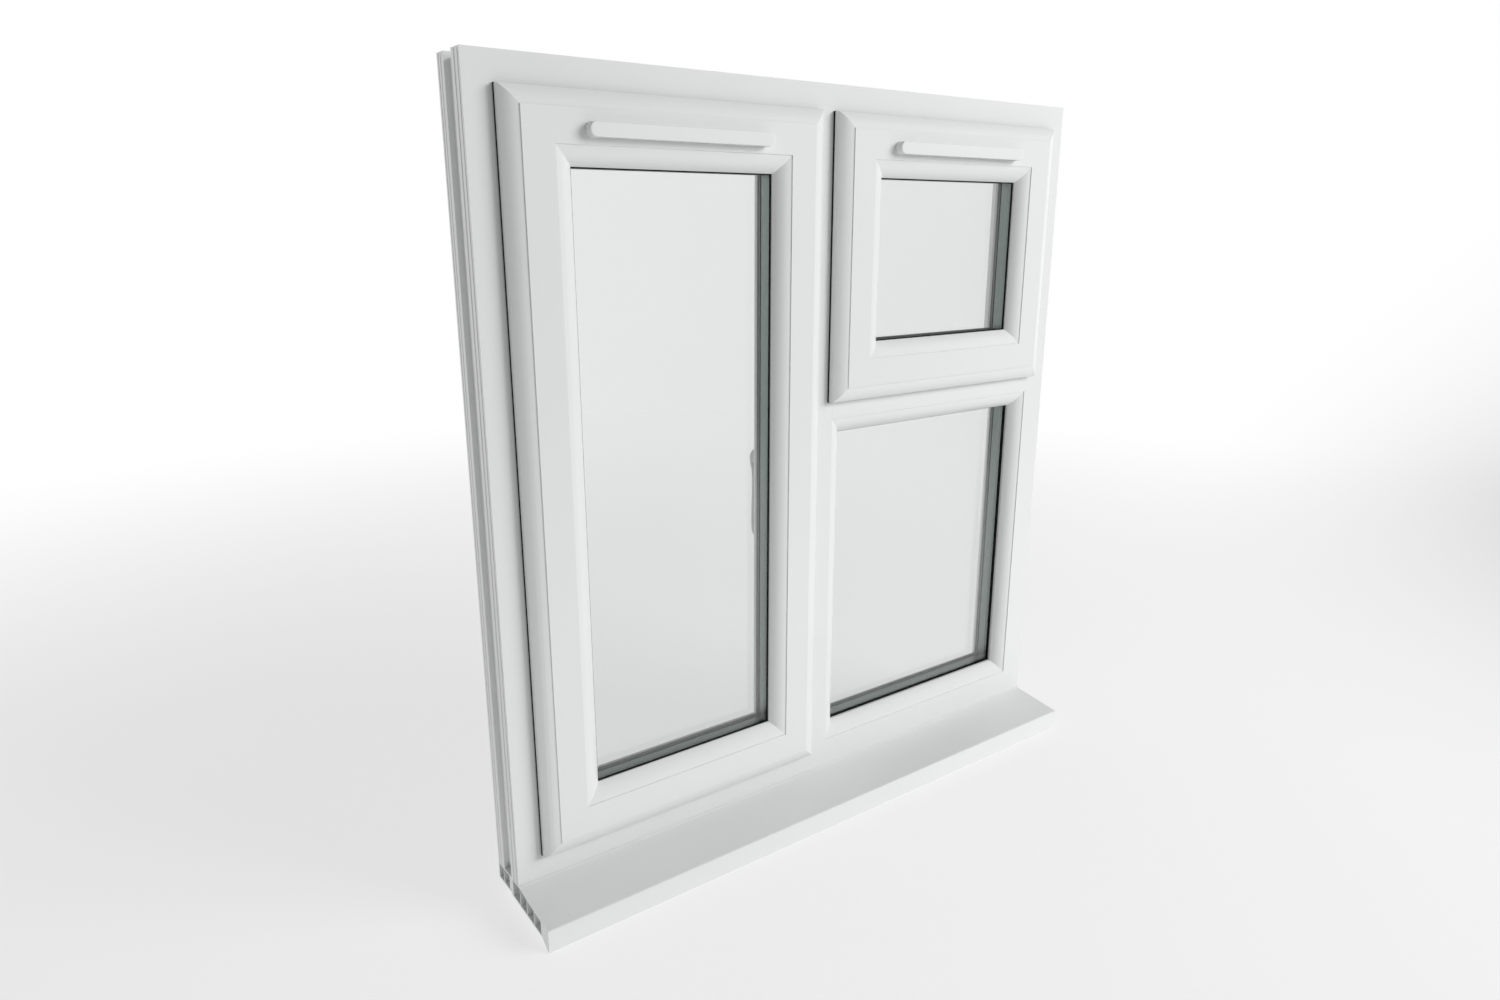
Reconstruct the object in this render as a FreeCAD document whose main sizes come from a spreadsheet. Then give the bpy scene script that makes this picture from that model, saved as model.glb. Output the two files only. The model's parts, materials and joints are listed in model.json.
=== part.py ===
import FreeCAD, Part
import math
import os
import re

import Sketcher

# A white vinyl casement window: one outer frame with a mullion and a transom, a side-hung
# casement on the left, a top-hung vent over a fixed light on the right, and a projecting cill.
#
# Row frame, millimetres: X runs left to right as seen from outside and is 0 at the middle of
# the window.  Y runs from outside to the room.  Z is up and is 0 on the cill's bearing foot.
# The outer face of the frame lies face_setback in front of Y = 0.
#
# Words used for the sections: "depth" is measured from the frame's outer face towards the
# room, and "reach" from the outer edge of a member towards the middle of its opening.

V = FreeCAD.Vector
doc = FreeCAD.newDocument("CasementWindow")

# ------------------------------------------------------------------ driving dimensions
SIZES = {
    # outer frame
    "frame_width": 1040.0,
    "frame_height": 1063.0,
    "frame_depth": 70.0,
    "face_setback": 50.0,
    "frame_flat": 46.0,
    "bevel_wide": 24.0,
    "bevel_deep": 16.0,
    "bevel_bow": 34.0,
    "nib_back": 20.0,
    "rebate_floor": 58.0,
    "wall": 2.8,
    "web": 1.6,
    "groove_deep": 1.2,
    "rear_cell": 6.0,
    "rear_web": 2.0,
    "channel_front": 25.0,
    "channel_back": 49.0,
    "channel_deep": 7.0,
    # mullion and transom
    "mullion_half": 24.0,
    "mullion_place": 521.8,
    "transom_half": 19.0,
    "transom_level": 607.7,
    # fixing holes through the jambs
    "fixing_radius": 4.0,
    "fixing_depth": 37.0,
    "fixing_low": 250.0,
    "fixing_high": 700.0,
    # sashes
    "sash_margin": 36.0,
    "flange_back": 3.0,
    "flange_front": 11.0,
    "sash_front": 22.8,
    "sash_back": 48.0,
    "outer_bevel": 20.0,
    "inner_bevel_start": 62.2,
    "sightline": 86.4,
    "sightline_front": 8.6,
    "glass_nib": 2.0,
    "perimeter": 41.5,
    "glazing_floor": 71.0,
    "quirk": 1.3,
    "lock_groove_front": 26.0,
    "lock_groove_back": 42.0,
    "lock_groove_deep": 5.0,
    # glass
    "pane": 4.0,
    "cavity": 20.0,
    "spacer_wide": 7.0,
    "spacer_inset": 1.5,
    "gasket": 3.0,
    "gasket_lip": 1.4,
    "gasket_recess": 2.5,
    "glass_edge": 5.0,
    "bead_wide": 16.0,
    "bead_heel": 6.0,
    "bead_land": 1.5,
    # seals around the sashes
    "flange_seal_proud": 0.7,
    "flange_seal_wide": 6.0,
    "flange_seal_gap": 0.3,
    "fin_edge": 35.0,
    "fin_front": 6.0,
    "fin_back": 7.5,
    # steel inside the chambers
    "steel_wall": 2.0,
    "steel_gap": 0.6,
    "frame_steel_end": 62.0,
    "sash_steel_end": 76.0,
    "bar_steel_end": 6.0,
    # friction stays
    "casement_short_arm": 100.0,
    "casement_long_arm": 150.0,
    "vent_short_arm": 80.0,
    "vent_long_arm": 120.0,
    "slide_origin": 20.0,
    "pivot_depth": 28.0,
    "arm_half": 7.0,
    "arm_thick": 2.0,
    "track_half": 7.8,
    "track_thick": 2.0,
    "track_lip": 4.0,
    "short_arm_level": 70.5,
    "long_arm_level": 72.9,
    "stay_bar_level": 75.3,
    "stay_pin": 3.0,
    "running_gap": 0.05,
    "shoe_half_length": 14.0,
    "track_tail": 24.0,
    "track_nose": 100.0,
    "track_lip_start": 20.0,
    "track_lip_thick": 1.5,
    "stay_bar_end": 20.0,
    "stay_boss": 6.5,
    "shoe_neck": 5.0,
    "shoe_side_gap": 1.8,
    "shoe_float": 0.3,
    # locking gear
    "spindle_reach": 56.0,
    "spindle_half": 3.5,
    "spindle_hole": 7.0,
    "spindle_bore": 5.2,
    "spindle_front": 27.0,
    "gearbox_half": 60.0,
    "gearbox_reach": 66.0,
    "gearbox_half_wide": 7.5,
    "lock_travel": 18.0,
    "cam_radius": 4.0,
    "lock_end": 75.0,
    "cam_inset": 45.0,
    "faceplate_thick": 2.0,
    "lock_bar_thick": 2.4,
    "lock_bar_half_wide": 5.0,
    "lock_bar_end": 4.0,
    "lug_half": 3.0,
    "lug_thick": 1.6,
    "cam_proud": 6.0,
    "cam_head": 2.5,
    "keep_end": 12.0,
    "keep_front": 9.0,
    "keep_back": 12.0,
    "keep_stop_front": 7.0,
    "keep_thick": 2.0,
    "keep_stop_high": 16.5,
    # handles
    "base_half_wide": 15.0,
    "base_half_long": 34.0,
    "base_thick": 11.0,
    "boss_radius": 13.0,
    "boss_thick": 14.0,
    "lever_length": 128.0,
    "lever_half_wide": 10.0,
    "lever_thick": 9.0,
    "button_radius": 4.5,
    "button_proud": 4.0,
    "button_sunk": 4.0,
    "button_well": 8.0,
    # trickle ventilation
    "canopy_half": 135.5,
    "canopy_half_high": 9.3,
    "canopy_level": 45.0,
    "canopy_deep": 13.5,
    "canopy_wall": 1.6,
    "slot_half": 100.0,
    "slot_low": 51.0,
    "slot_high": 45.2,
    "ventilator_half": 150.0,
    "ventilator_deep": 14.0,
    "ventilator_top": 43.0,
    "ventilator_bottom": 69.0,
    "ventilator_wall": 2.0,
    "ventilator_end": 6.0,
    "ventilator_sill": 16.0,
    "hood_mouth_front": 4.0,
    "hood_mouth_back": 3.0,
    "flap_thick": 1.8,
    "flap_pin": 1.5,
    "flap_pin_drop": 6.0,
    "flap_pin_deep": 4.0,
    "flap_pin_end": 2.6,
    "flap_gap": 0.5,
    # cill, all heights below the bottom of the frame
    "cill_foot": 26.4,
    "cill_nose": 92.0,
    "cill_nose_top": 13.0,
    "cill_nose_bottom": 46.0,
    "cill_lip": 5.0,
    "cill_front": 4.0,
    "cill_drop": 1.5,
    "cill_upstand": 1.0,
    "cill_nose_bow": 2.6,
    "cill_wall": 2.4,
    "cill_web": 1.8,
    "cill_foot_front": 31.0,
    "cill_step_front": 28.0,
    "cill_step": 5.0,
    "cill_under_back": 29.0,
    "cill_under_front": 35.0,
    "cill_throat": 15.0,
    "cill_chamber_front": 33.0,
    "cill_chamber_back": 51.8,
}

sheet = doc.addObject("Spreadsheet::Sheet", "Sizes")
for row, (name, number) in enumerate(SIZES.items(), start=1):
    sheet.set("A%d" % row, name)
    sheet.set("B%d" % row, str(number))
    sheet.setAlias("B%d" % row, name)
doc.recompute()


class Size:
    """A number together with the sheet expression that yields it."""

    def __init__(self, value, text):
        self.value = float(value)
        self.text = text

    def __add__(self, other):
        other = as_size(other)
        return Size(self.value + other.value, "(%s + %s)" % (self.text, other.text))

    def __sub__(self, other):
        other = as_size(other)
        return Size(self.value - other.value, "(%s - %s)" % (self.text, other.text))

    def __mul__(self, factor):
        return Size(self.value * factor, "(%s * %r)" % (self.text, float(factor)))

    def __neg__(self):
        return self * -1.0

    __radd__ = __add__


def as_size(number):
    if isinstance(number, Size):
        return number
    return Size(number, "(%r)" % float(number))


class Sheet:
    """Every driving dimension as an attribute, read back from the spreadsheet."""

    def __init__(self):
        for name in SIZES:
            setattr(self, name, Size(sheet.get(name), "Sizes." + name))


d = Sheet()
zero = as_size(0)


def lesser(first, second):
    return first if first.value < second.value else second


# ------------------------------------------------------------------ general helpers
def bind(target, path, size):
    """Give a property its size, as an expression on the sheet."""
    target.setExpression(path, as_size(size).text)


def place(target, base, rotation=None):
    """Put an object at a base point of three sizes, each bound to the sheet."""
    turn = rotation or FreeCAD.Rotation()
    target.Placement = FreeCAD.Placement(V(*[as_size(part).value for part in base]), turn)
    for letter, part in zip("xyz", base):
        bind(target, "Placement.Base." + letter, part)


def depth(size):
    """Row Y of a depth behind the frame's outer face."""
    return as_size(size) - d.face_setback


def level(size):
    """Row Z of a height above the bottom of the frame."""
    return as_size(size) + d.cill_foot


def across(size):
    """Row X of a distance from the frame's left edge."""
    return as_size(size) - d.frame_width * 0.5


def safe(label):
    return re.sub(r"\W", "_", label)


def box(label, low, high):
    """A rectangular solid between two corners in row coordinates."""
    solid = doc.addObject("Part::Box", safe(label))
    solid.Label = label
    for name, start, end in zip(("Length", "Width", "Height"), low, high):
        bind(solid, name, as_size(end) - start)
    place(solid, low)
    return solid


AXIS_TURN = {
    "x": FreeCAD.Rotation(V(0, 1, 0), 90),
    "y": FreeCAD.Rotation(V(1, 0, 0), -90),
    "z": FreeCAD.Rotation(),
}


def rod(label, axis, base, length, radius):
    """A cylinder that starts at base and runs along the positive row axis."""
    solid = doc.addObject("Part::Cylinder", safe(label))
    solid.Label = label
    bind(solid, "Radius", radius)
    bind(solid, "Height", length)
    place(solid, base, AXIS_TURN[axis])
    return solid


def fuse(label, *parts):
    whole = doc.addObject("Part::MultiFuse", safe(label))
    whole.Label = label
    whole.Shapes = list(parts)
    whole.Refine = True
    return whole


def cut(label, base, *tools):
    whole = doc.addObject("Part::Cut", safe(label))
    whole.Label = label
    whole.Base = base
    whole.Tool = tools[0] if len(tools) == 1 else group(label + "_tools", *tools)
    return whole


def group(label, *parts):
    """Several separate solids kept together as one object."""
    whole = doc.addObject("Part::Compound", safe(label))
    whole.Label = label
    whole.Links = list(parts)
    return whole


# ------------------------------------------------------------------ sketches and profiles
class Bow:
    """A round stretch between two corners: its radius, and +1 or -1 for the side it bulges to."""

    def __init__(self, radius, side):
        self.radius = radius
        self.side = side


def bowed(start, end, bow):
    """Arc between two points of a sketch.  A bulge to the left runs from end to start."""
    chord = end - start
    radius = bow.radius.value
    inward = math.sqrt(radius ** 2 - (chord.Length / 2.0) ** 2)
    normal = V(-chord.y, chord.x, 0).normalize()
    centre = (start + end) * 0.5 - normal * (inward * bow.side)
    ends = (end, start) if bow.side > 0 else (start, end)
    first, last = [math.atan2(point.y - centre.y, point.x - centre.x) for point in ends]
    if last < first:
        last += 2.0 * math.pi
    return Part.ArcOfCircle(Part.Circle(centre, V(0, 0, 1), radius), first, last)


def outline(sketch, loop):
    """Draw a closed outline in a sketch and bind every corner to the sheet."""
    corners = []
    bows = {}
    for item in loop:
        if isinstance(item, Bow):
            bows[len(corners) - 1] = item
        else:
            corners.append(item)
    first = sketch.GeometryCount
    count = len(corners)
    points = [V(as_size(a).value, as_size(b).value, 0) for a, b in corners]
    ends = []
    for index, start in enumerate(points):
        end = points[(index + 1) % count]
        if index in bows:
            bow = bows[index]
            sketch.addGeometry(bowed(start, end, bow), False)
            number = sketch.addConstraint(
                Sketcher.Constraint("Radius", first + index, bow.radius.value))
            bind(sketch, "Constraints[%d]" % number, bow.radius)
            ends.append((2, 1) if bow.side > 0 else (1, 2))
        else:
            sketch.addGeometry(Part.LineSegment(start, end), False)
            ends.append((1, 2))
    for index in range(count):
        follower = (index + 1) % count
        join = Sketcher.Constraint(
            "Coincident", first + index, ends[index][1], first + follower, ends[follower][0])
        sketch.addConstraint(join)
        for kind, size in zip(("DistanceX", "DistanceY"), corners[index]):
            pin = Sketcher.Constraint(
                kind, -1, 1, first + index, ends[index][0], as_size(size).value)
            number = sketch.addConstraint(pin)
            bind(sketch, "Constraints[%d]" % number, size)


def sketch_on(body, name, plane, *loops):
    """A sketch on one of the body's own origin planes."""
    sketch = body.newObject("Sketcher::SketchObject", name)
    origin = [item for item in body.Origin.OriginFeatures if item.Role == plane][0]
    sketch.AttachmentSupport = [(origin, "")]
    sketch.MapMode = "FlatFace"
    for loop in loops:
        outline(sketch, loop)
    return sketch


def pocket_through(body, sketch):
    """Cut a sketch right through the body, both ways from its plane."""
    doc.recompute()
    before = body.Shape.Volume
    hole = body.newObject("PartDesign::Pocket", sketch.Name + "_cut")
    hole.Profile = sketch
    hole.Type = "ThroughAll"
    hole.SideType = "Symmetric"
    doc.recompute()
    if body.Shape.Volume >= before - 1e-6:
        raise RuntimeError(body.Label + ": " + sketch.Name + " cuts nothing")
    return hole


def extrusion(label, loops, length):
    """A straight profile along local X, centred, from a (depth, reach) outline and its chambers.

    The first loop is the outline, and the others are chambers inside it.
    """
    body = doc.addObject("PartDesign::Body", safe(label))
    body.Label = label
    section = sketch_on(body, safe(label) + "_section", "YZ_Plane", *loops)
    pad = body.newObject("PartDesign::Pad", safe(label) + "_pad")
    pad.Profile = section
    pad.SideType = "Symmetric"
    bind(pad, "Length", length)
    return body


def mitre(body, length, reach):
    """Cut both ends at 45 degrees, over the given reach."""
    half = as_size(length) * 0.5
    top = as_size(reach)
    beyond = 5.0
    loops = []
    for sign in (1, -1):
        loops.append([
            (half * sign, zero),
            ((half + beyond) * sign, zero),
            ((half + beyond) * sign, top + beyond),
            ((half - top - beyond) * sign, top + beyond)])
    pocket_through(body, sketch_on(body, body.Name + "_mitres", "XZ_Plane", *loops))


SIDE_TURN = {
    "bottom": FreeCAD.Rotation(V(0, 1, 0), 0),
    "left": FreeCAD.Rotation(V(0, 1, 0), 90),
    "top": FreeCAD.Rotation(V(0, 1, 0), 180),
    "right": FreeCAD.Rotation(V(0, 1, 0), -90),
}


class Opening:
    """A rectangle seen from outside, given by the row positions of its four sides."""

    def __init__(self, left, right, bottom, top):
        self.left = left
        self.right = right
        self.bottom = bottom
        self.top = top
        self.wide = right - left
        self.high = top - bottom
        self.middle = (left + right) * 0.5
        self.centre = (bottom + top) * 0.5

    def inset(self, reach):
        return Opening(self.left + reach, self.right - reach, self.bottom + reach, self.top - reach)

    def side_length(self, side):
        return self.wide if side in ("top", "bottom") else self.high

    def side_point(self, side, along=None, reach=None):
        """Row X and Z of a point on a side, along it from its middle and inward from it."""
        along = as_size(along or 0)
        reach = as_size(reach or 0)
        return {
            "bottom": (self.middle + along, self.bottom + reach),
            "left": (self.left + reach, self.centre - along),
            "top": (self.middle - along, self.top - reach),
            "right": (self.right - reach, self.centre + along),
        }[side]


def seat(body, opening, side):
    """Place a member's body on one side of an opening, its local X along that side."""
    x, z = opening.side_point(side)
    place(body, (x, depth(zero), z), SIDE_TURN[side])
    return body


def side_box(label, opening, side, along, deep, reach):
    """A box given in a side's own terms: along it, in depth, and inward from it."""
    first = opening.side_point(side, along[0], reach[0])
    second = opening.side_point(side, along[1], reach[1])
    low = [lesser(a, b) for a, b in zip(first, second)]
    high = [b if a is c else a for a, b, c in zip(first, second, low)]
    return box(label, (low[0], depth(deep[0]), low[1]), (high[0], depth(deep[1]), high[1]))


def side_pin(label, opening, side, along, deep, reach, radius):
    """A cylinder that stands inward from a side."""
    first = opening.side_point(side, along, reach[0])
    second = opening.side_point(side, along, reach[1])
    axis = "z" if side in ("top", "bottom") else "x"
    pick = 1 if axis == "z" else 0
    start = first if first[pick].value < second[pick].value else second
    length = as_size(reach[1]) - reach[0]
    return rod(label, axis, (start[0], depth(deep), start[1]), length, radius)


def ring(label, outer, inner, front, back):
    """A flat rectangular loop between two openings and two depths."""
    corners = [(o.left, depth(front), o.bottom, o.right, depth(back), o.top) for o in (outer, inner)]
    solid = box(label + "_outer", corners[0][:3], corners[0][3:])
    left, low_y, bottom, right, high_y, top = corners[1]
    hollow = box(label + "_inner", (left, low_y - 1, bottom), (right, high_y + 1, top))
    return cut(label, solid, hollow)


def slab(label, opening, front, back):
    low = (opening.left, depth(front), opening.bottom)
    return box(label, low, (opening.right, depth(back), opening.top))


frame = Opening(across(zero), across(d.frame_width), level(zero), level(d.frame_height))
SIDES = ("bottom", "left", "top", "right")


# ------------------------------------------------------------------ outer frame
def rectangle(front, back, low, high):
    return [(front, low), (back, low), (back, high), (front, high)]


def grooves(*places):
    """Shallow grooves across the frame's outer side, each from one depth to another."""
    points = []
    for start, end in places:
        points += [
            (as_size(start), zero), (as_size(start), d.groove_deep),
            (as_size(end), d.groove_deep), (as_size(end), zero)]
    return points


def frame_section():
    """Outline and chambers of the outer frame, as (depth, reach)."""
    nib_tip = d.frame_flat + d.bevel_wide
    outer = [
        (zero, zero),
        *grooves((4.0, 6.5), (14.0, 17.0)),
        (d.channel_front, zero), (d.channel_front, d.channel_deep),
        (d.channel_back, d.channel_deep), (d.channel_back, zero),
        *grooves((57.0, 59.0), (64.0, 66.0)),
        (d.frame_depth, zero),
        (d.frame_depth, d.rebate_floor),
        (d.nib_back, d.rebate_floor),
        (d.nib_back, nib_tip),
        (d.bevel_deep, nib_tip), Bow(d.bevel_bow, -1),
        (d.quirk, d.frame_flat + d.quirk),
        (d.quirk, d.frame_flat),
        (zero, d.frame_flat),
    ]
    skin = d.wall + d.groove_deep
    top = d.rebate_floor - d.wall
    front = rectangle(d.wall, d.nib_back - d.web, skin, d.frame_flat - d.wall)
    main = rectangle(d.nib_back + d.web, main_chamber_back(), d.channel_deep + d.wall, top)
    back = rectangle(
        d.frame_depth - d.wall - d.rear_cell, d.frame_depth - d.wall, skin, top)
    return [outer, front, main, back]


def main_chamber_back():
    """Depth where the frame's main chamber ends, in front of the rear cell."""
    return d.frame_depth - d.wall - d.rear_cell - d.rear_web


def frame_member(label, side):
    length = frame.side_length(side)
    body = extrusion(label, frame_section(), length)
    mitre(body, length, d.frame_flat + d.bevel_wide)
    if side in ("left", "right"):
        fixing_holes(body, side)
    return seat(body, frame, side)


def fixing_holes(body, side):
    """Two holes along the reach, for the screws that hold a jamb to the wall."""
    sketch = body.newObject("Sketcher::SketchObject", body.Name + "_fixings")
    plane = [item for item in body.Origin.OriginFeatures if item.Role == "XY_Plane"][0]
    sketch.AttachmentSupport = [(plane, "")]
    sketch.MapMode = "FlatFace"
    sign = -1 if side == "left" else 1
    for index, height in enumerate((d.fixing_low, d.fixing_high)):
        along = (height - d.frame_height * 0.5) * sign
        centre = V(along.value, d.fixing_depth.value, 0)
        sketch.addGeometry(Part.Circle(centre, V(0, 0, 1), d.fixing_radius.value), False)
        numbers = sketch.addConstraint([
            Sketcher.Constraint("Radius", index, d.fixing_radius.value),
            Sketcher.Constraint("DistanceX", -1, 1, index, 3, along.value),
            Sketcher.Constraint("DistanceY", -1, 1, index, 3, d.fixing_depth.value)])
        for number, size in zip(numbers, (d.fixing_radius, along, d.fixing_depth)):
            bind(sketch, "Constraints[%d]" % number, size)
    pocket_through(body, sketch)


def bar_section(half):
    """Outline and chamber of the mullion or transom, centred on reach 0."""
    nib = half + d.bevel_wide
    stem = half + d.rebate_floor - d.frame_flat
    outer = [
        (zero, -half), (d.quirk, -half), (d.quirk, -(half + d.quirk)), Bow(d.bevel_bow, -1),
        (d.bevel_deep, -nib),
        (d.nib_back, -nib), (d.nib_back, -stem), (d.frame_depth, -stem), (d.frame_depth, stem),
        (d.nib_back, stem), (d.nib_back, nib), (d.bevel_deep, nib), Bow(d.bevel_bow, -1),
        (d.quirk, half + d.quirk), (d.quirk, half), (zero, half),
    ]
    front = rectangle(d.wall, d.nib_back - d.web, -(half - d.wall), half - d.wall)
    main = rectangle(
        d.nib_back + d.web, d.frame_depth - d.wall, -(stem - d.wall), stem - d.wall)
    return [outer, front, main]


def coping(body, half_length):
    """Shape both ends of a bar to sit on a member's nib, bevel and rebate floor.

    half_length is the distance from the bar's middle to the outer edge of that member.
    """
    nib_tip = d.frame_flat + d.bevel_wide
    beyond = as_size(10)
    loops = []
    for sign in (1, -1):
        def end(reach):
            return (half_length - reach) * sign
        loops.append([
            (end(-beyond), -beyond), (end(d.frame_flat), -beyond), (end(d.frame_flat), d.quirk),
            (end(d.frame_flat + d.quirk), d.quirk), Bow(d.bevel_bow, sign),
            (end(nib_tip), d.bevel_deep), (end(nib_tip), d.nib_back),
            (end(d.rebate_floor), d.nib_back), (end(d.rebate_floor), d.frame_depth + beyond),
            (end(-beyond), d.frame_depth + beyond)])
    pocket_through(body, sketch_on(body, body.Name + "_coping", "XY_Plane", *loops))


def make_mullion():
    body = extrusion("mullion", bar_section(d.mullion_half), d.frame_height - d.frame_flat * 2.0)
    coping(body, d.frame_height * 0.5)
    place(body, (across(d.mullion_place), depth(zero), frame.centre), SIDE_TURN["left"])


# the right-hand column between the mullion's middle line and the frame's right edge; the
# mullion is narrower than a frame member, so its outer edge is taken frame_flat away
mullion_edge = across(d.mullion_place + d.mullion_half - d.frame_flat)
column = Opening(mullion_edge, frame.right, frame.bottom, frame.top)


def make_transom():
    body = extrusion("transom", bar_section(d.transom_half), column.wide - d.frame_flat * 2.0)
    coping(body, column.wide * 0.5)
    place(body, (column.middle, depth(zero), level(d.transom_level)))


def steel_tube(label, opening, side, deep, reach, ends, bores=()):
    """A rectangular steel tube inside a chamber, cut square, a little clear of its walls."""
    gap = d.steel_gap
    half = opening.side_length(side) * 0.5 - ends
    outer = side_box(
        label + "_outer", opening, side, (-half, half),
        (deep[0] + gap, deep[1] - gap), (reach[0] + gap, reach[1] - gap))
    inset = gap + d.steel_wall
    inner = side_box(
        label + "_inner", opening, side, (-half - 1, half + 1),
        (deep[0] + inset, deep[1] - inset), (reach[0] + inset, reach[1] - inset))
    return cut(label, outer, inner, *bores)


def frame_steel():
    deep = (d.nib_back + d.web, main_chamber_back())
    reach = (d.channel_deep + d.wall, d.rebate_floor - d.wall)
    tubes = []
    for side in SIDES:
        bores = []
        if side in ("left", "right"):
            sign = -1 if side == "left" else 1
            for index, height in enumerate((d.fixing_low, d.fixing_high)):
                bores.append(side_pin(
                    "steel_bore_%s_%d" % (side, index), frame, side,
                    (height - d.frame_height * 0.5) * sign, d.fixing_depth,
                    (zero, d.rebate_floor), d.fixing_radius))
        tubes.append(steel_tube("steel_" + side, frame, side, deep, reach, d.frame_steel_end, bores))
    stem = d.rebate_floor - d.frame_flat
    inside = d.steel_gap + d.wall
    ends = d.rebate_floor + d.bar_steel_end
    for label, middle, half, low, high in (
            ("steel_mullion", across(d.mullion_place), d.mullion_half, frame.bottom, frame.top),
            ("steel_transom", level(d.transom_level), d.transom_half, column.left, column.right)):
        wide = half + stem - inside
        front = depth(d.nib_back + d.web + d.steel_gap)
        back = depth(d.frame_depth - inside)
        if label == "steel_mullion":
            corners = ((middle - wide, front, low + ends), (middle + wide, back, high - ends))
        else:
            corners = ((low + ends, front, middle - wide), (high - ends, back, middle + wide))
        solid = box(label + "_outer", *corners)
        axis = 2 if label == "steel_mullion" else 0
        low_corner = [c + (-1 if i == axis else d.steel_wall) for i, c in enumerate(corners[0])]
        high_corner = [
            c + 1 if i == axis else c - d.steel_wall for i, c in enumerate(corners[1])]
        tubes.append(cut(label, solid, box(label + "_inner", low_corner, high_corner)))
    return group("frame_reinforcements", *tubes)


# ------------------------------------------------------------------ glazing
def glazed_unit(prefix, edge, front):
    """Two panes and the spacer bar between them, within an edge opening, from a front depth."""
    inner_front = front + d.pane + d.cavity
    slab(prefix + "_outer_pane", edge, front, front + d.pane)
    slab(prefix + "_inner_pane", edge, inner_front, inner_front + d.pane)
    outer = edge.inset(d.spacer_inset)
    ring(prefix + "_spacer", outer, outer.inset(d.spacer_wide), front + d.pane, inner_front)
    return inner_front + d.pane


BEAD_SLOPE_SHARE = 0.68


def bead_section(front, back, foot):
    """A glazing bead: upright against the glass gasket and sloped towards the room."""
    top = foot + d.bead_wide
    slope_start = back - (back - front) * BEAD_SLOPE_SHARE
    return [
        (front, foot), (back, foot), (back, foot + d.bead_heel),
        (slope_start, top - d.bead_land), (slope_start - d.bead_land, top), (front, top)]


def bead_loop(label, opening, foot, front, back):
    """Four mitred beads around an opening whose rebate floor lies at the given reach."""
    parts = []
    for side in SIDES:
        length = opening.side_length(side)
        body = extrusion(label + "_" + side, [bead_section(front, back, foot)], length)
        mitre(body, length, foot + d.bead_wide)
        parts.append(seat(body, opening, side))
    return group(label, *parts)


def make_fixed_light():
    """The fixed light below the transom, glazed straight into the frame."""
    # its four members show frame_flat of face each, so its outer edges are that far out
    low = Opening(
        mullion_edge, frame.right, frame.bottom,
        level(d.transom_level - d.transom_half + d.frame_flat))
    edge = low.inset(d.rebate_floor + d.glass_edge)
    sight = low.inset(d.frame_flat + d.bevel_wide)
    front = d.nib_back + d.gasket
    back = glazed_unit("fixed", edge, front)
    outer_gasket = ring(
        "fixed_outer_gasket", edge, sight.inset(d.gasket_lip), d.nib_back, front)
    bead_front = back + d.gasket
    hidden = low.inset(d.rebate_floor + d.bead_wide - d.gasket_recess)
    inner_gasket = ring("fixed_inner_gasket", edge, hidden, back, bead_front)
    group("fixed_gaskets", outer_gasket, inner_gasket)
    bead_loop("fixed_beads", low, d.rebate_floor, bead_front, d.frame_depth - 1)


# ------------------------------------------------------------------ sashes
def sash_section(lock_groove):
    """Outline and chambers of a sash member; reach is measured from the edge of its flange."""
    nib_back = -(d.sightline_front - d.glass_nib)
    inner_start = d.inner_bevel_start
    outer = [
        (-d.flange_back, zero),
        (-d.flange_front, zero), Bow(d.bevel_bow, 1),
        (-(d.sash_front - d.quirk), d.outer_bevel),
        (-(d.sash_front - d.quirk), d.outer_bevel + d.quirk),
        (-d.sash_front, d.outer_bevel + d.quirk),
        (-d.sash_front, inner_start),
        (-(d.sash_front - d.quirk), inner_start),
        (-(d.sash_front - d.quirk), inner_start + d.quirk), Bow(d.bevel_bow, 1),
        (-d.sightline_front, d.sightline),
        (nib_back, d.sightline),
        (nib_back, d.glazing_floor),
        (d.sash_back, d.glazing_floor),
        (d.sash_back, d.perimeter),
    ]
    if lock_groove:
        floor = d.perimeter + d.lock_groove_deep
        outer += [
            (d.lock_groove_back, d.perimeter), (d.lock_groove_back, floor),
            (d.lock_groove_front, floor), (d.lock_groove_front, d.perimeter)]
    outer.append((-d.flange_back, d.perimeter))
    low = d.perimeter + d.lock_groove_deep + d.wall
    main = rectangle(
        d.flange_back, d.sash_back - d.wall, low, d.glazing_floor - d.wall)
    front = rectangle(
        -(d.sash_front - d.wall), -(d.flange_back + d.web),
        d.outer_bevel + d.wall, inner_start - d.wall)
    return [outer, main, front]


def sash_member(label, opening, side, lock_groove):
    length = opening.side_length(side)
    body = extrusion(label, sash_section(lock_groove), length)
    mitre(body, length, d.sightline)
    return seat(body, opening, side)


def air_slot(body):
    """The slot through the top member that the trickle ventilator breathes through."""
    loop = [
        (-d.slot_half, d.slot_high), (d.slot_half, d.slot_high),
        (d.slot_half, d.slot_low), (-d.slot_half, d.slot_low)]
    pocket_through(body, sketch_on(body, body.Name + "_slot", "XZ_Plane", loop))


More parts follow.
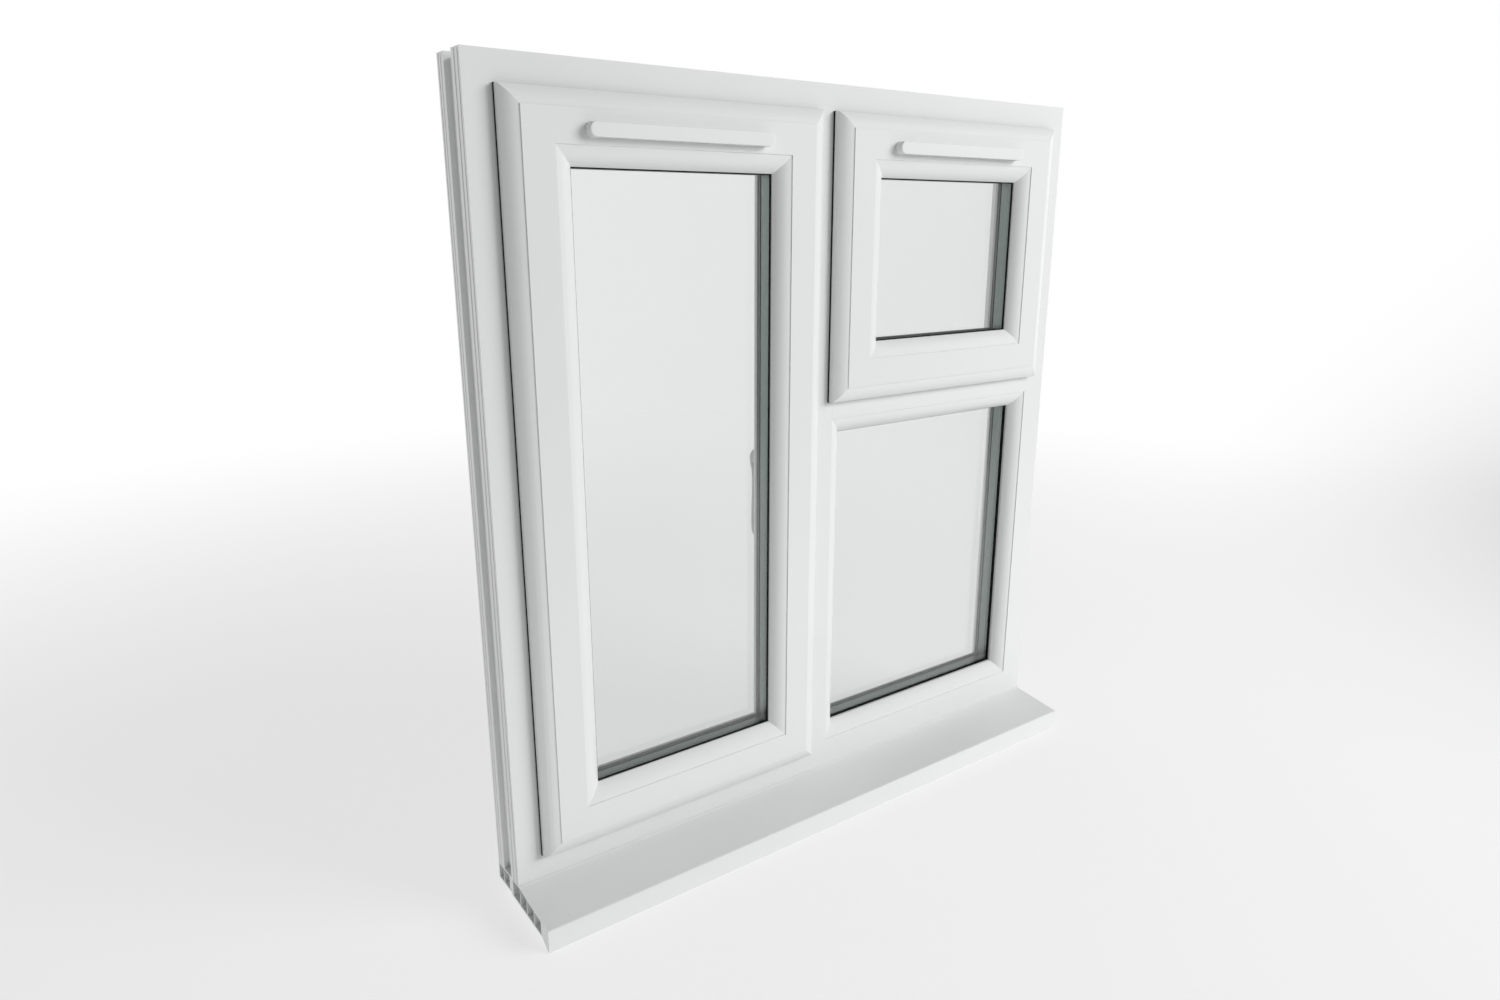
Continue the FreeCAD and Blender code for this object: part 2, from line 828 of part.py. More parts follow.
def gear_pocket(body):
    """The routed pocket for the gearbox, and the spindle hole to the room face."""
    gap = as_size(0.5)
    half = d.gearbox_half + gap
    wide = d.gearbox_half_wide + gap
    middle = (d.lock_groove_front + d.lock_groove_back) * 0.5
    sketch = sketch_on(body, body.Name + "_gear_pocket", "XY_Plane", [
        (-half, middle - wide), (half, middle - wide), (half, middle + wide),
        (-half, middle + wide)])
    doc.recompute()
    before = body.Shape.Volume
    pocket = body.newObject("PartDesign::Pocket", body.Name + "_gear_pocket_cut")
    pocket.Profile = sketch
    pocket.Reversed = True
    bind(pocket, "Length", d.gearbox_reach + gap)
    doc.recompute()
    if body.Shape.Volume >= before - 1:
        raise RuntimeError("the gear pocket cuts nothing")
    hole = body.newObject("Sketcher::SketchObject", body.Name + "_spindle")
    plane = [item for item in body.Origin.OriginFeatures if item.Role == "XZ_Plane"][0]
    hole.AttachmentSupport = [(plane, "")]
    hole.MapMode = "FlatFace"
    centre = V(0, d.spindle_reach.value, 0)
    hole.addGeometry(Part.Circle(centre, V(0, 0, 1), d.spindle_hole.value), False)
    numbers = hole.addConstraint([
        Sketcher.Constraint("Radius", 0, d.spindle_hole.value),
        Sketcher.Constraint("DistanceX", -1, 1, 0, 3, 0.0),
        Sketcher.Constraint("DistanceY", -1, 1, 0, 3, d.spindle_reach.value)])
    bind(hole, "Constraints[%d]" % numbers[0], d.spindle_hole)
    bind(hole, "Constraints[%d]" % numbers[2], d.spindle_reach)
    doc.recompute()
    before = body.Shape.Volume
    bore = body.newObject("PartDesign::Pocket", body.Name + "_spindle_cut")
    bore.Profile = hole
    bind(bore, "Length", d.sash_back + 1)
    doc.recompute()
    if body.Shape.Volume >= before - 1:
        raise RuntimeError("the spindle hole cuts nothing")


def sash_steel(prefix, opening):
    """Steel tubes in front of the lock groove, left out of the top member for its air slot."""
    deep = (d.flange_back, d.lock_groove_front - d.wall)
    reach = (d.perimeter + d.lock_groove_deep + d.wall, d.glazing_floor - d.wall)
    tubes = []
    for side in SIDES:
        if side == "top":
            continue
        label = "%s_steel_%s" % (prefix, side)
        tubes.append(steel_tube(label, opening, side, deep, reach, d.sash_steel_end))
    group(prefix + "_reinforcements", *tubes)


def make_sash_glazing(prefix, opening):
    edge = opening.inset(d.glazing_floor + d.glass_edge)
    sight = opening.inset(d.sightline)
    nib_back = -(d.sightline_front - d.glass_nib)
    front = nib_back + d.gasket
    back = glazed_unit(prefix, edge, front)
    bead_front = back + d.gasket
    hidden = opening.inset(d.glazing_floor + d.bead_wide - d.gasket_recess)
    rings = [
        ring(prefix + "_outer_gasket", edge, sight.inset(d.gasket_lip), nib_back, front),
        ring(prefix + "_inner_gasket", edge, hidden, back, bead_front)]
    seal_edge = opening.inset(-d.flange_seal_proud)
    flange = ring(
        prefix + "_flange_seal", seal_edge, seal_edge.inset(d.flange_seal_wide),
        -d.flange_back, -d.flange_seal_gap)
    fin = ring(
        prefix + "_inner_fin", opening.inset(d.fin_edge), opening.inset(d.perimeter),
        d.fin_front, d.fin_back)
    group(prefix + "_seals", flange, fin, *rings)
    bead_loop(prefix + "_beads", opening, d.glazing_floor, bead_front, d.sash_back)


# ------------------------------------------------------------------ trickle ventilation
def pill(label, middle, half, level_z, radius, front, back):
    """A bar with round ends, lying along X."""
    straight = half - radius
    core = box(
        label + "_core", (middle - straight, depth(front), level_z - radius),
        (middle + straight, depth(back), level_z + radius))
    caps = [
        rod(label + "_cap_%d" % index, "y", (middle + straight * sign, depth(front), level_z),
            as_size(back) - front, radius)
        for index, sign in enumerate((-1, 1))]
    return fuse(label, core, *caps)


def make_trickle_parts(prefix, opening):
    """Outside hood, inside ventilator housing and its hinged shutter."""
    high = opening.top - d.canopy_level
    face = -d.sash_front
    front = face - d.canopy_deep
    shell = pill(
        prefix + "_hood", opening.middle, d.canopy_half, high, d.canopy_half_high, front, face)
    inside = d.canopy_half_high - d.canopy_wall
    hollow = pill(
        prefix + "_hood_hollow", opening.middle, d.canopy_half - d.canopy_wall, high, inside,
        front + d.canopy_wall, face + 1)
    mouth = box(
        prefix + "_hood_mouth",
        (opening.middle - d.slot_half, depth(front + d.hood_mouth_front),
         high - d.canopy_half_high - 1),
        (opening.middle + d.slot_half, depth(face - d.hood_mouth_back), high - inside + 1))
    cut(prefix + "_trickle_canopy", shell, hollow, mouth)

    make_ventilator(prefix, opening)


def make_ventilator(prefix, opening):
    """Housing on the room face of the top member, and the shutter hinged inside it."""
    room = d.sash_back
    top = opening.top - d.ventilator_top
    bottom = opening.top - d.ventilator_bottom
    half = d.ventilator_half
    deep = d.ventilator_deep
    wall = d.ventilator_wall
    middle = opening.middle
    housing = box(
        prefix + "_vent_case", (middle - half, depth(room), bottom),
        (middle + half, depth(room + deep), top))
    chamber_half = d.slot_half + d.ventilator_end
    chamber = box(
        prefix + "_vent_chamber", (middle - chamber_half, depth(room + wall), bottom - 1),
        (middle + chamber_half, depth(room + deep + 1), top - wall))
    way_in = box(
        prefix + "_vent_way", (middle - d.slot_half, depth(room - 1), bottom + d.ventilator_sill),
        (middle + d.slot_half, depth(room + wall + 1), top - wall))
    hinge_z = top - d.flap_pin_drop
    hinge_y = room + deep - d.flap_pin_deep
    bore_half = chamber_half + d.flap_pin_end + d.running_gap
    bore = rod(
        prefix + "_vent_bore", "x", (middle - bore_half, depth(hinge_y), hinge_z),
        bore_half * 2.0, d.flap_pin + d.running_gap)
    cut(prefix + "_trickle_ventilator", housing, chamber, way_in, bore)

    flap_half = chamber_half - d.flap_gap
    leaf = box(
        prefix + "_flap_leaf",
        (middle - flap_half, depth(hinge_y - d.flap_thick * 0.5), bottom + 1),
        (middle + flap_half, depth(hinge_y + d.flap_thick * 0.5), hinge_z))
    pin_half = chamber_half + d.flap_pin_end
    trunnions = rod(
        prefix + "_flap_trunnions", "x", (middle - pin_half, depth(hinge_y), hinge_z),
        pin_half * 2.0, d.flap_pin)
    fuse(prefix + "_trickle_shutter", leaf, trunnions)


# ------------------------------------------------------------------ friction stays
def arm(label, frame_side, side, start, end, reach):
    """A flat arm with round ends and a bore at each, along a side, at a reach level."""
    levels = (reach, reach + d.arm_thick)
    half = d.arm_half
    core = side_box(
        label + "_core", frame_side, side, (start, end),
        (d.pivot_depth - half, d.pivot_depth + half), levels)
    parts = [core]
    bores = []
    for index, along in enumerate((start, end)):
        parts.append(side_pin(
            "%s_end_%d" % (label, index), frame_side, side, along, d.pivot_depth, levels, half))
        bores.append(side_pin(
            "%s_bore_%d" % (label, index), frame_side, side, along, d.pivot_depth,
            (reach - 1, reach + d.arm_thick + 1), d.stay_pin + d.running_gap))
    return cut(label, fuse(label + "_blank", *parts), *bores)


def make_stays(prefix, opening, sides, along_of, short, long):
    """One pair of friction stays: tracks on the frame, sliding shoes, arms and sash bars.

    along_of(side, distance) turns a distance from the hinge-side outer edge of the frame into
    a position along that side.
    """
    fixed = d.slide_origin + short * 2.0
    on_bar = d.slide_origin + short
    joint = d.slide_origin + long
    shoe = d.slide_origin + long * 2.0
    floor = d.rebate_floor
    middle = d.pivot_depth
    tracks, bars, shorts, longs, shoes = [], [], [], [], []
    for side in sides:
        tag = "%s_%s_" % (prefix, side)

        def at(distance, side=side):
            return along_of(side, distance)

        def span(first, second):
            ends = (at(first), at(second))
            return ends if ends[0].value < ends[1].value else (ends[1], ends[0])

        base = side_box(
            tag + "track_base", opening, side, span(fixed - d.track_nose, shoe + d.track_tail),
            (middle - d.track_half, middle + d.track_half), (floor, floor + d.track_thick))
        lips = [
            side_box(
                tag + "track_lip_%d" % index, opening, side,
                span(fixed + d.track_lip_start, shoe + d.track_tail), edges,
                (floor, floor + d.track_thick + d.track_lip))
            for index, edges in enumerate((
                (middle - d.track_half, middle - d.track_half + d.track_lip_thick),
                (middle + d.track_half - d.track_lip_thick, middle + d.track_half)))]
        boss = side_pin(
            tag + "boss", opening, side, at(fixed), middle,
            (floor, d.short_arm_level - d.running_gap * 2.0), d.stay_boss)
        pivot = side_pin(
            tag + "pivot", opening, side, at(fixed), middle,
            (floor, d.short_arm_level + d.arm_thick + d.running_gap * 2.0), d.stay_pin)
        tracks.append(fuse(tag + "track", base, *lips, boss, pivot))

        bar = side_box(
            tag + "bar_plate", opening, side, span(on_bar - d.stay_bar_end, joint + d.stay_bar_end),
            (middle - d.arm_half, middle + d.arm_half),
            (d.stay_bar_level, d.sash_margin + d.perimeter))
        near_pin = side_pin(
            tag + "near_pin", opening, side, at(on_bar), middle,
            (d.short_arm_level, d.stay_bar_level + 0.5), d.stay_pin)
        collar = side_pin(
            tag + "collar", opening, side, at(on_bar), middle,
            (d.short_arm_level + d.arm_thick + 0.2, d.stay_bar_level + 0.5), d.stay_pin + 2)
        far_pin = side_pin(
            tag + "far_pin", opening, side, at(joint), middle,
            (d.long_arm_level, d.stay_bar_level + 0.5), d.stay_pin)
        bars.append(fuse(tag + "bar", bar, near_pin, collar, far_pin))

        shorts.append(arm(tag + "short", opening, side, *span(on_bar, fixed), d.short_arm_level))
        longs.append(arm(tag + "long", opening, side, *span(joint, shoe), d.long_arm_level))

        slider = side_box(
            tag + "slider", opening, side,
            span(shoe - d.shoe_half_length, shoe + d.shoe_half_length),
            (middle - d.track_half + d.shoe_side_gap, middle + d.track_half - d.shoe_side_gap),
            (floor + d.track_thick + d.shoe_float, d.long_arm_level - d.stay_pin))
        neck = side_pin(
            tag + "neck", opening, side, at(shoe), middle,
            (floor + d.track_thick + 1, d.long_arm_level - d.shoe_float), d.shoe_neck)
        shoe_pin = side_pin(
            tag + "shoe_pin", opening, side, at(shoe), middle,
            (floor + d.track_thick + 1, d.long_arm_level + d.arm_thick), d.stay_pin)
        shoes.append(fuse(tag + "shoe", slider, neck, shoe_pin))
    group(prefix + "_stay_tracks", *tracks)
    group(prefix + "_stay_bars", *bars)
    group(prefix + "_short_arms", *shorts)
    group(prefix + "_long_arms", *longs)
    group(prefix + "_stay_shoes", *shoes)


# ------------------------------------------------------------------ locking gear and handles
def spindle_rod(label, opening, side, deep, radius):
    """A cylinder along the depth at the handle's spindle."""
    x, z = opening.side_point(side, zero, d.spindle_reach)
    return rod(label, "y", (x, depth(deep[0]), z), as_size(deep[1]) - deep[0], radius)


def lock_half(opening, side):
    """Half the length of the faceplate along a sash's lock side."""
    return opening.side_length(side) * 0.5 - d.lock_end


def make_lock(prefix, opening, side):
    """Faceplate and gearbox, sliding bar with cams, handle base, lever and its button."""
    middle = (d.lock_groove_front + d.lock_groove_back) * 0.5
    half_length = lock_half(opening, side)
    cam_place = half_length - d.cam_inset
    mouth = d.perimeter
    plate_back = mouth + d.faceplate_thick
    bar = (plate_back + 0.2, plate_back + 0.2 + d.lock_bar_thick)
    box_front = mouth + d.lock_groove_deep + 0.2
    plate = side_box(
        prefix + "_faceplate", opening, side, (-half_length, half_length),
        (d.lock_groove_front + 0.2, d.lock_groove_back - 0.2), (mouth, plate_back))
    case = side_box(
        prefix + "_gearcase", opening, side, (-d.gearbox_half, d.gearbox_half),
        (middle - d.gearbox_half_wide, middle + d.gearbox_half_wide), (box_front, d.gearbox_reach))
    lugs = [
        side_box(
            prefix + "_lug_%d" % index, opening, side,
            (d.gearbox_half * sign - d.lug_half, d.gearbox_half * sign + d.lug_half),
            (middle + d.gearbox_half_wide - d.lug_thick, middle + d.gearbox_half_wide),
            (mouth + 0.5, box_front + 4))
        for index, sign in enumerate((-0.9, 0.9))]
    spindle_hole = spindle_rod(
        prefix + "_gear_bore", opening, side, (zero, d.sash_back), d.spindle_bore)
    slots = []
    cams = []
    cam_tip = mouth - d.cam_proud
    for index, along in enumerate((-cam_place, cam_place)):
        slots.append(side_box(
            prefix + "_slot_%d" % index, opening, side,
            (along - d.cam_radius - 0.5, along + d.lock_travel + d.cam_radius + 0.5),
            (middle - d.cam_radius - 0.4, middle + d.cam_radius + 0.4), (mouth - 1, plate_back + 1)))
        cams.append(side_pin(
            prefix + "_cam_%d" % index, opening, side, along, middle,
            (cam_tip, bar[1]), d.cam_radius - 1))
        cams.append(side_pin(
            prefix + "_cam_head_%d" % index, opening, side, along, middle,
            (cam_tip, cam_tip + d.cam_head), d.cam_radius))
    cut(prefix + "_espagnolette",
        fuse(prefix + "_espagnolette_blank", plate, case, *lugs), spindle_hole, *slots)
    strip = side_box(
        prefix + "_lock_strip", opening, side,
        (-half_length + d.lock_bar_end, half_length - d.lock_travel - d.lock_bar_end),
        (middle - d.lock_bar_half_wide, middle + d.lock_bar_half_wide), bar)
    fuse(prefix + "_lock_bar", strip, *cams)
    make_handle(prefix, opening, side)


def make_handle(prefix, opening, side):
    """Handle base on the room face, the turning lever with its spindle, and the push button."""
    room = d.sash_back
    base_back = room + d.base_thick
    boss_front = base_back + 0.3
    boss_back = boss_front + d.boss_thick
    reach = d.spindle_reach
    plate = side_box(
        prefix + "_base_plate", opening, side, (-d.base_half_long, d.base_half_long),
        (room, base_back - 3), (reach - d.base_half_wide + 3, reach + d.base_half_wide - 3))
    collar = spindle_rod(prefix + "_base_collar", opening, side, (room, base_back), d.boss_radius)
    base_bore = spindle_rod(
        prefix + "_base_bore", opening, side, (room - 1, base_back + 1), d.spindle_bore)
    cut(prefix + "_handle_base", fuse(prefix + "_base_blank", plate, collar), base_bore)

    boss = spindle_rod(prefix + "_boss", opening, side, (boss_front, boss_back), d.boss_radius)
    blade_front = boss_back - d.lever_thick
    blade = side_box(
        prefix + "_blade", opening, side, (-(d.lever_length - d.lever_half_wide), zero),
        (blade_front, boss_back), (reach - d.lever_half_wide, reach + d.lever_half_wide))
    x, z = opening.side_point(side, -(d.lever_length - d.lever_half_wide), reach)
    tip = rod(prefix + "_tip", "y", (x, depth(blade_front), z), d.lever_thick, d.lever_half_wide)
    square = side_box(
        prefix + "_spindle", opening, side, (-d.spindle_half, d.spindle_half),
        (d.spindle_front, boss_front + 1), (reach - d.spindle_half, reach + d.spindle_half))
    well = spindle_rod(
        prefix + "_button_well", opening, side, (boss_back - d.button_well, boss_back + 1),
        d.button_radius + d.running_gap)
    cut(prefix + "_handle_lever", fuse(prefix + "_lever_blank", boss, blade, tip, square), well)
    x, z = opening.side_point(side, zero, reach)
    rod(
        prefix + "_handle_button", "y", (x, depth(boss_back - d.button_sunk), z),
        d.button_sunk + d.button_proud, d.button_radius)


def make_keeps(sashes):
    """Keep plates on the rebate floor, each behind the place of a cam."""
    keeps = []
    middle = (d.lock_groove_front + d.lock_groove_back) * 0.5
    for prefix, edge, side in sashes:
        cam_place = lock_half(edge.inset(d.sash_margin), side) - d.cam_inset
        for index, along in enumerate((-cam_place, cam_place)):
            span = (along - d.keep_end, along + d.lock_travel + d.keep_end)
            floor = d.rebate_floor
            label = "%s_keep_%d" % (prefix, index)
            foot = side_box(
                label + "_foot", edge, side, span, (middle - d.keep_front, middle + d.keep_back),
                (floor, floor + d.keep_thick))
            stop = side_box(
                label + "_stop", edge, side, span,
                (middle + d.keep_stop_front, middle + d.keep_back),
                (floor, floor + d.keep_stop_high))
            keeps.append(fuse(label, foot, stop))
    group("lock_keeps", *keeps)


# ------------------------------------------------------------------ cill
def make_cill():
    """The projecting cill: an open-ended hollow profile with upright webs."""
    nose = -d.cill_nose
    foot = -d.cill_foot
    back = d.frame_depth + 1
    lip_back = nose + d.cill_lip
    outer = [
        (back, zero), (back, foot), (d.cill_foot_front, foot),
        (d.cill_foot_front, foot + d.cill_step), (d.cill_step_front, foot + d.cill_step),
        (d.cill_step_front, -d.cill_under_back),
        (lip_back + d.cill_throat, -d.cill_under_front),
        (lip_back, -d.cill_nose_bottom),
        (nose, -d.cill_nose_bottom),
        (nose, -d.cill_nose_top - d.cill_drop), Bow(d.cill_nose_bow, 1),
        (nose + d.cill_drop, -d.cill_nose_top),
        (-d.cill_front, -d.cill_drop), (-d.cill_upstand, zero)]
    wall = d.cill_wall.value
    half_web = d.cill_web.value * 0.5
    loops = [outer]
    # the main chamber follows the sloping top; webs split it into cells
    webs = (-70.0, -48.0, -25.0, -3.0, 22.0)
    for first, last in zip(webs[:-1], webs[1:]):
        start = first + half_web
        end = last - half_web
        loops.append([
            (as_size(start), cill_top(start) - wall), (as_size(start), cill_bottom(start) + wall),
            (as_size(end), cill_bottom(end) + wall), (as_size(end), cill_top(end) - wall)])
    low = foot + d.cill_wall
    high = -d.cill_wall
    loops.append(rectangle(d.cill_chamber_front, d.cill_chamber_back, low, high))
    loops.append(rectangle(d.cill_chamber_back + d.cill_web, back - d.cill_wall, low, high))
    body = extrusion("cill", loops, d.frame_width)
    place(body, (frame.middle, depth(zero), level(zero)))


def cill_top(at):
    """Height of the cill's top at a depth: flat under the frame, sloping in front of it."""
    front = -d.cill_front.value
    if at > front:
        return zero
    share = (front - at) / (front + d.cill_nose.value)
    return -(d.cill_nose_top * share + d.cill_drop * (1 - share))


def cill_bottom(at):
    """Height of the underside in front of the foot, falling evenly towards the nose."""
    back = d.cill_step_front.value
    front = -(d.cill_nose - d.cill_lip - d.cill_throat).value
    share = (back - at) / (back - front)
    return -(d.cill_under_back * (1 - share) + d.cill_under_front * share)


# ------------------------------------------------------------------ assembly
def make_sash(prefix, opening, members, lock_side):
    for side, word in members.items():
        body = sash_member("%s_%s" % (prefix, word), opening, side, side == lock_side)
        if side == "top":
            air_slot(body)
        if side == lock_side:
            gear_pocket(body)
    sash_steel(prefix, opening)
    make_sash_glazing(prefix, opening)
    make_trickle_parts(prefix, opening)
    make_lock(prefix, opening, lock_side)


def casement_along(side, distance):
    """Along a head or bottom rail, from the left outer edge of the frame."""
    from_middle = as_size(distance) - d.frame_width * 0.5
    return from_middle if side == "bottom" else -from_middle


def vent_along(side, distance):
    """Along a jamb or mullion, from the top outer edge of the frame."""
    from_middle = d.frame_height * 0.5 - distance
    return from_middle if side == "right" else -from_middle


frame_member("frame_head", "top")
frame_member("frame_left_jamb", "left")
frame_member("frame_right_jamb", "right")
frame_member("frame_bottom_rail", "bottom")
make_mullion()
make_transom()
frame_steel()
make_fixed_light()
make_cill()

left_column = Opening(
    frame.left, across(d.mullion_place - d.mullion_half + d.frame_flat), frame.bottom, frame.top)
upper_column = Opening(
    mullion_edge, frame.right, level(d.transom_level + d.transom_half - d.frame_flat), frame.top)
casement = left_column.inset(d.sash_margin)
vent = upper_column.inset(d.sash_margin)

CASEMENT_MEMBERS = {
    "top": "top_rail", "bottom": "bottom_rail", "left": "hinge_stile", "right": "lock_stile"}
VENT_MEMBERS = {
    "top": "top_rail", "bottom": "bottom_rail", "left": "left_stile", "right": "right_stile"}
make_sash("casement", casement, CASEMENT_MEMBERS, "right")
make_sash("vent", vent, VENT_MEMBERS, "bottom")
make_stays(
    "casement", frame, ("top", "bottom"), casement_along,
    d.casement_short_arm, d.casement_long_arm)
make_stays(
    "vent", column, ("left", "right"), vent_along, d.vent_short_arm, d.vent_long_arm)
make_keeps([("casement", left_column, "right"), ("vent", upper_column, "bottom")])

# ------------------------------------------------------------------ check and write
NODES = [
    "frame_head", "frame_left_jamb", "frame_right_jamb", "frame_bottom_rail", "mullion",
    "transom", "cill", "frame_reinforcements", "fixed_outer_pane", "fixed_inner_pane",
    "fixed_spacer", "fixed_gaskets", "fixed_beads", "lock_keeps"]
PER_SASH = [
    "top_rail", "bottom_rail", "reinforcements", "seals", "outer_pane", "inner_pane", "spacer",
    "beads", "stay_tracks", "stay_bars", "short_arms", "long_arms", "stay_shoes",
    "espagnolette", "lock_bar", "handle_base", "handle_lever", "handle_button",
    "trickle_canopy", "trickle_ventilator", "trickle_shutter"]
NODES += ["casement_" + word for word in PER_SASH + ["hinge_stile", "lock_stile"]]
NODES += ["vent_" + word for word in PER_SASH + ["left_stile", "right_stile"]]

doc.recompute()
for item in doc.Objects:
    if "Invalid" in item.State or "Error" in item.State:
        raise RuntimeError("%s failed: %s" % (item.Label, item.State))
os.makedirs("parts", exist_ok=True)
for name in NODES:
    shape = doc.getObjectsByLabel(name)[0].Shape
    if shape.isNull() or not shape.isValid() or not shape.Solids:
        raise RuntimeError(name + " has no sound shape")
for name in NODES:
    shape = doc.getObjectsByLabel(name)[0].Shape
    shape.exportStep("parts/%s.step" % name)
    print("%-32s solids %2d  volume %10.1f" % (name, len(shape.Solids), shape.Volume))
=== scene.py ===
import json
import math

import bmesh
import bpy
from mathutils import Matrix, Vector


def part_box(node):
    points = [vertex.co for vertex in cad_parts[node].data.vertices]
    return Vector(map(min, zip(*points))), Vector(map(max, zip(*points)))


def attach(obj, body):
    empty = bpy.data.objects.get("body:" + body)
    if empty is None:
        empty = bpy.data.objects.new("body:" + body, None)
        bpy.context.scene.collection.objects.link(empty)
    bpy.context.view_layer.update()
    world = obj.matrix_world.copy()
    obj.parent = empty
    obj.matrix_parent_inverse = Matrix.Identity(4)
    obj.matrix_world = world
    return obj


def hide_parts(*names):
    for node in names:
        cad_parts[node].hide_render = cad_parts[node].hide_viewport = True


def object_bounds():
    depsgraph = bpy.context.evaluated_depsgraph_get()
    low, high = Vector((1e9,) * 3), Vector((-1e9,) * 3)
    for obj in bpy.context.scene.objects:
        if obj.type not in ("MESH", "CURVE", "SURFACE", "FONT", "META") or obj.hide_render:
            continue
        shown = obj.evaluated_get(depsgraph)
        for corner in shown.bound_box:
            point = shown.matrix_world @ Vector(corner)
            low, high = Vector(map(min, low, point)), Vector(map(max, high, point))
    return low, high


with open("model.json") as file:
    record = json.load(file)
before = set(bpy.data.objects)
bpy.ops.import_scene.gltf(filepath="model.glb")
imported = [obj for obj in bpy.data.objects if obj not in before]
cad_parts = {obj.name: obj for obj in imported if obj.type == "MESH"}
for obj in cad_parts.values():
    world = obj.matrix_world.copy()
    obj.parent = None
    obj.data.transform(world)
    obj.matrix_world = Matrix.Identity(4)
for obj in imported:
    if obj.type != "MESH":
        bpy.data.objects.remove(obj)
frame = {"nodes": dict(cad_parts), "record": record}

CAD_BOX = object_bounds()
NODES = frame["nodes"]
MM = 0.001

# ------------------------------------------------------------------ places read from the frame
SASHES = ("casement", "vent")
PANE_CLEAR = 0.5 * MM               # painted light: the gaskets' light grey starts this far short of a pane's room face
# depth past which only the bead gaskets lie, in the sashes and in the fixed light
ROOM_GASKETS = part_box("casement_inner_pane")[1].y - PANE_CLEAR


# ------------------------------------------------------------------ materials
def new_material(name):
    """A material with one principled shader."""
    material = bpy.data.materials.new(name)
    material.use_nodes = True
    nodes = material.node_tree.nodes
    nodes.clear()
    output = nodes.new("ShaderNodeOutputMaterial")
    shader = nodes.new("ShaderNodeBsdfPrincipled")
    material.node_tree.links.new(shader.outputs["BSDF"], output.inputs["Surface"])
    return material, shader


def make_node(tree, kind, **values):
    """A node with its sockets (by name) and properties set."""
    node = tree.nodes.new(kind)
    for key, value in values.items():
        if key in node.inputs:
            node.inputs[key].default_value = value
        else:
            setattr(node, key, value)
    return node


def add(material, kind, **values):
    """A shader node in a material."""
    return make_node(material.node_tree, "ShaderNode" + kind, **values)


def join(material, start, end):
    """Link an output socket to an input socket."""
    material.node_tree.links.new(start, end)


def object_noise(material, scale, detail=3.0, stretch=(1, 1, 1)):
    """Noise in the object's own metres, stretched if asked."""
    place = add(material, "TexCoord")
    mapping = add(material, "Mapping")
    mapping.inputs["Scale"].default_value = stretch
    noise = add(material, "TexNoise", Scale=scale, Detail=detail)
    join(material, place.outputs["Object"], mapping.inputs["Vector"])
    join(material, mapping.outputs["Vector"], noise.inputs["Vector"])
    return noise


def ramp(material, source, low, high, start=0.3, end=0.7):
    """A colour ramp between two colours over a stretch of a source value."""
    node = add(material, "ValToRGB")
    node.color_ramp.elements[0].position = start
    node.color_ramp.elements[0].color = (*low, 1)
    node.color_ramp.elements[1].position = end
    node.color_ramp.elements[1].color = (*high, 1)
    join(material, source, node.inputs["Fac"])
    return node


def spread(material, source, low, high):
    """A 0 to 1 source stretched to a range."""
    node = add(material, "MapRange")
    node.inputs["To Min"].default_value = low
    node.inputs["To Max"].default_value = high
    join(material, source, node.inputs["Value"])
    return node


def bump(material, shader, source, strength, distance):
    """A source as relief on a shader, its depth in metres."""
    node = add(material, "Bump", Strength=strength, Distance=distance)
    join(material, source, node.inputs["Height"])
    join(material, node.outputs["Normal"], shader.inputs["Normal"])


def vinyl(name, tone, rough):
    """Satin white extruded vinyl: a soft orange-peel, faint tone drift and fine rubbing."""
    material, shader = new_material(name)
    drift = object_noise(material, scale=6.0, detail=2.0)
    low = [channel * 0.985 for channel in tone]
    colour = ramp(material, drift.outputs["Fac"], low, tone)
    join(material, colour.outputs["Color"], shader.inputs["Base Color"])
    rubbing = object_noise(material, scale=90.0, detail=4.0)
    gloss = spread(material, rubbing.outputs["Fac"], rough - 0.05, rough + 0.06)
    join(material, gloss.outputs["Result"], shader.inputs["Roughness"])
    peel = object_noise(material, scale=700.0, detail=2.0)
    bump(material, shader, peel.outputs["Fac"], strength=0.05, distance=0.4 * MM)
    shader.inputs["IOR"].default_value = 1.5
    return material


def rubber(name):
    """Matt black rubber or nylon with a fine grain."""
    material, shader = new_material(name)
    drift = object_noise(material, scale=60.0)
    colour = ramp(material, drift.outputs["Fac"], (0.004, 0.004, 0.005), (0.010, 0.010, 0.011))
    join(material, colour.outputs["Color"], shader.inputs["Base Color"])
    rough = spread(material, drift.outputs["Fac"], 0.45, 0.65)
    join(material, rough.outputs["Result"], shader.inputs["Roughness"])
    grain = object_noise(material, scale=1800.0, detail=2.0)
    bump(material, shader, grain.outputs["Fac"], strength=0.15, distance=0.2 * MM)
    shader.inputs["Specular IOR Level"].default_value = 0.2
    return material


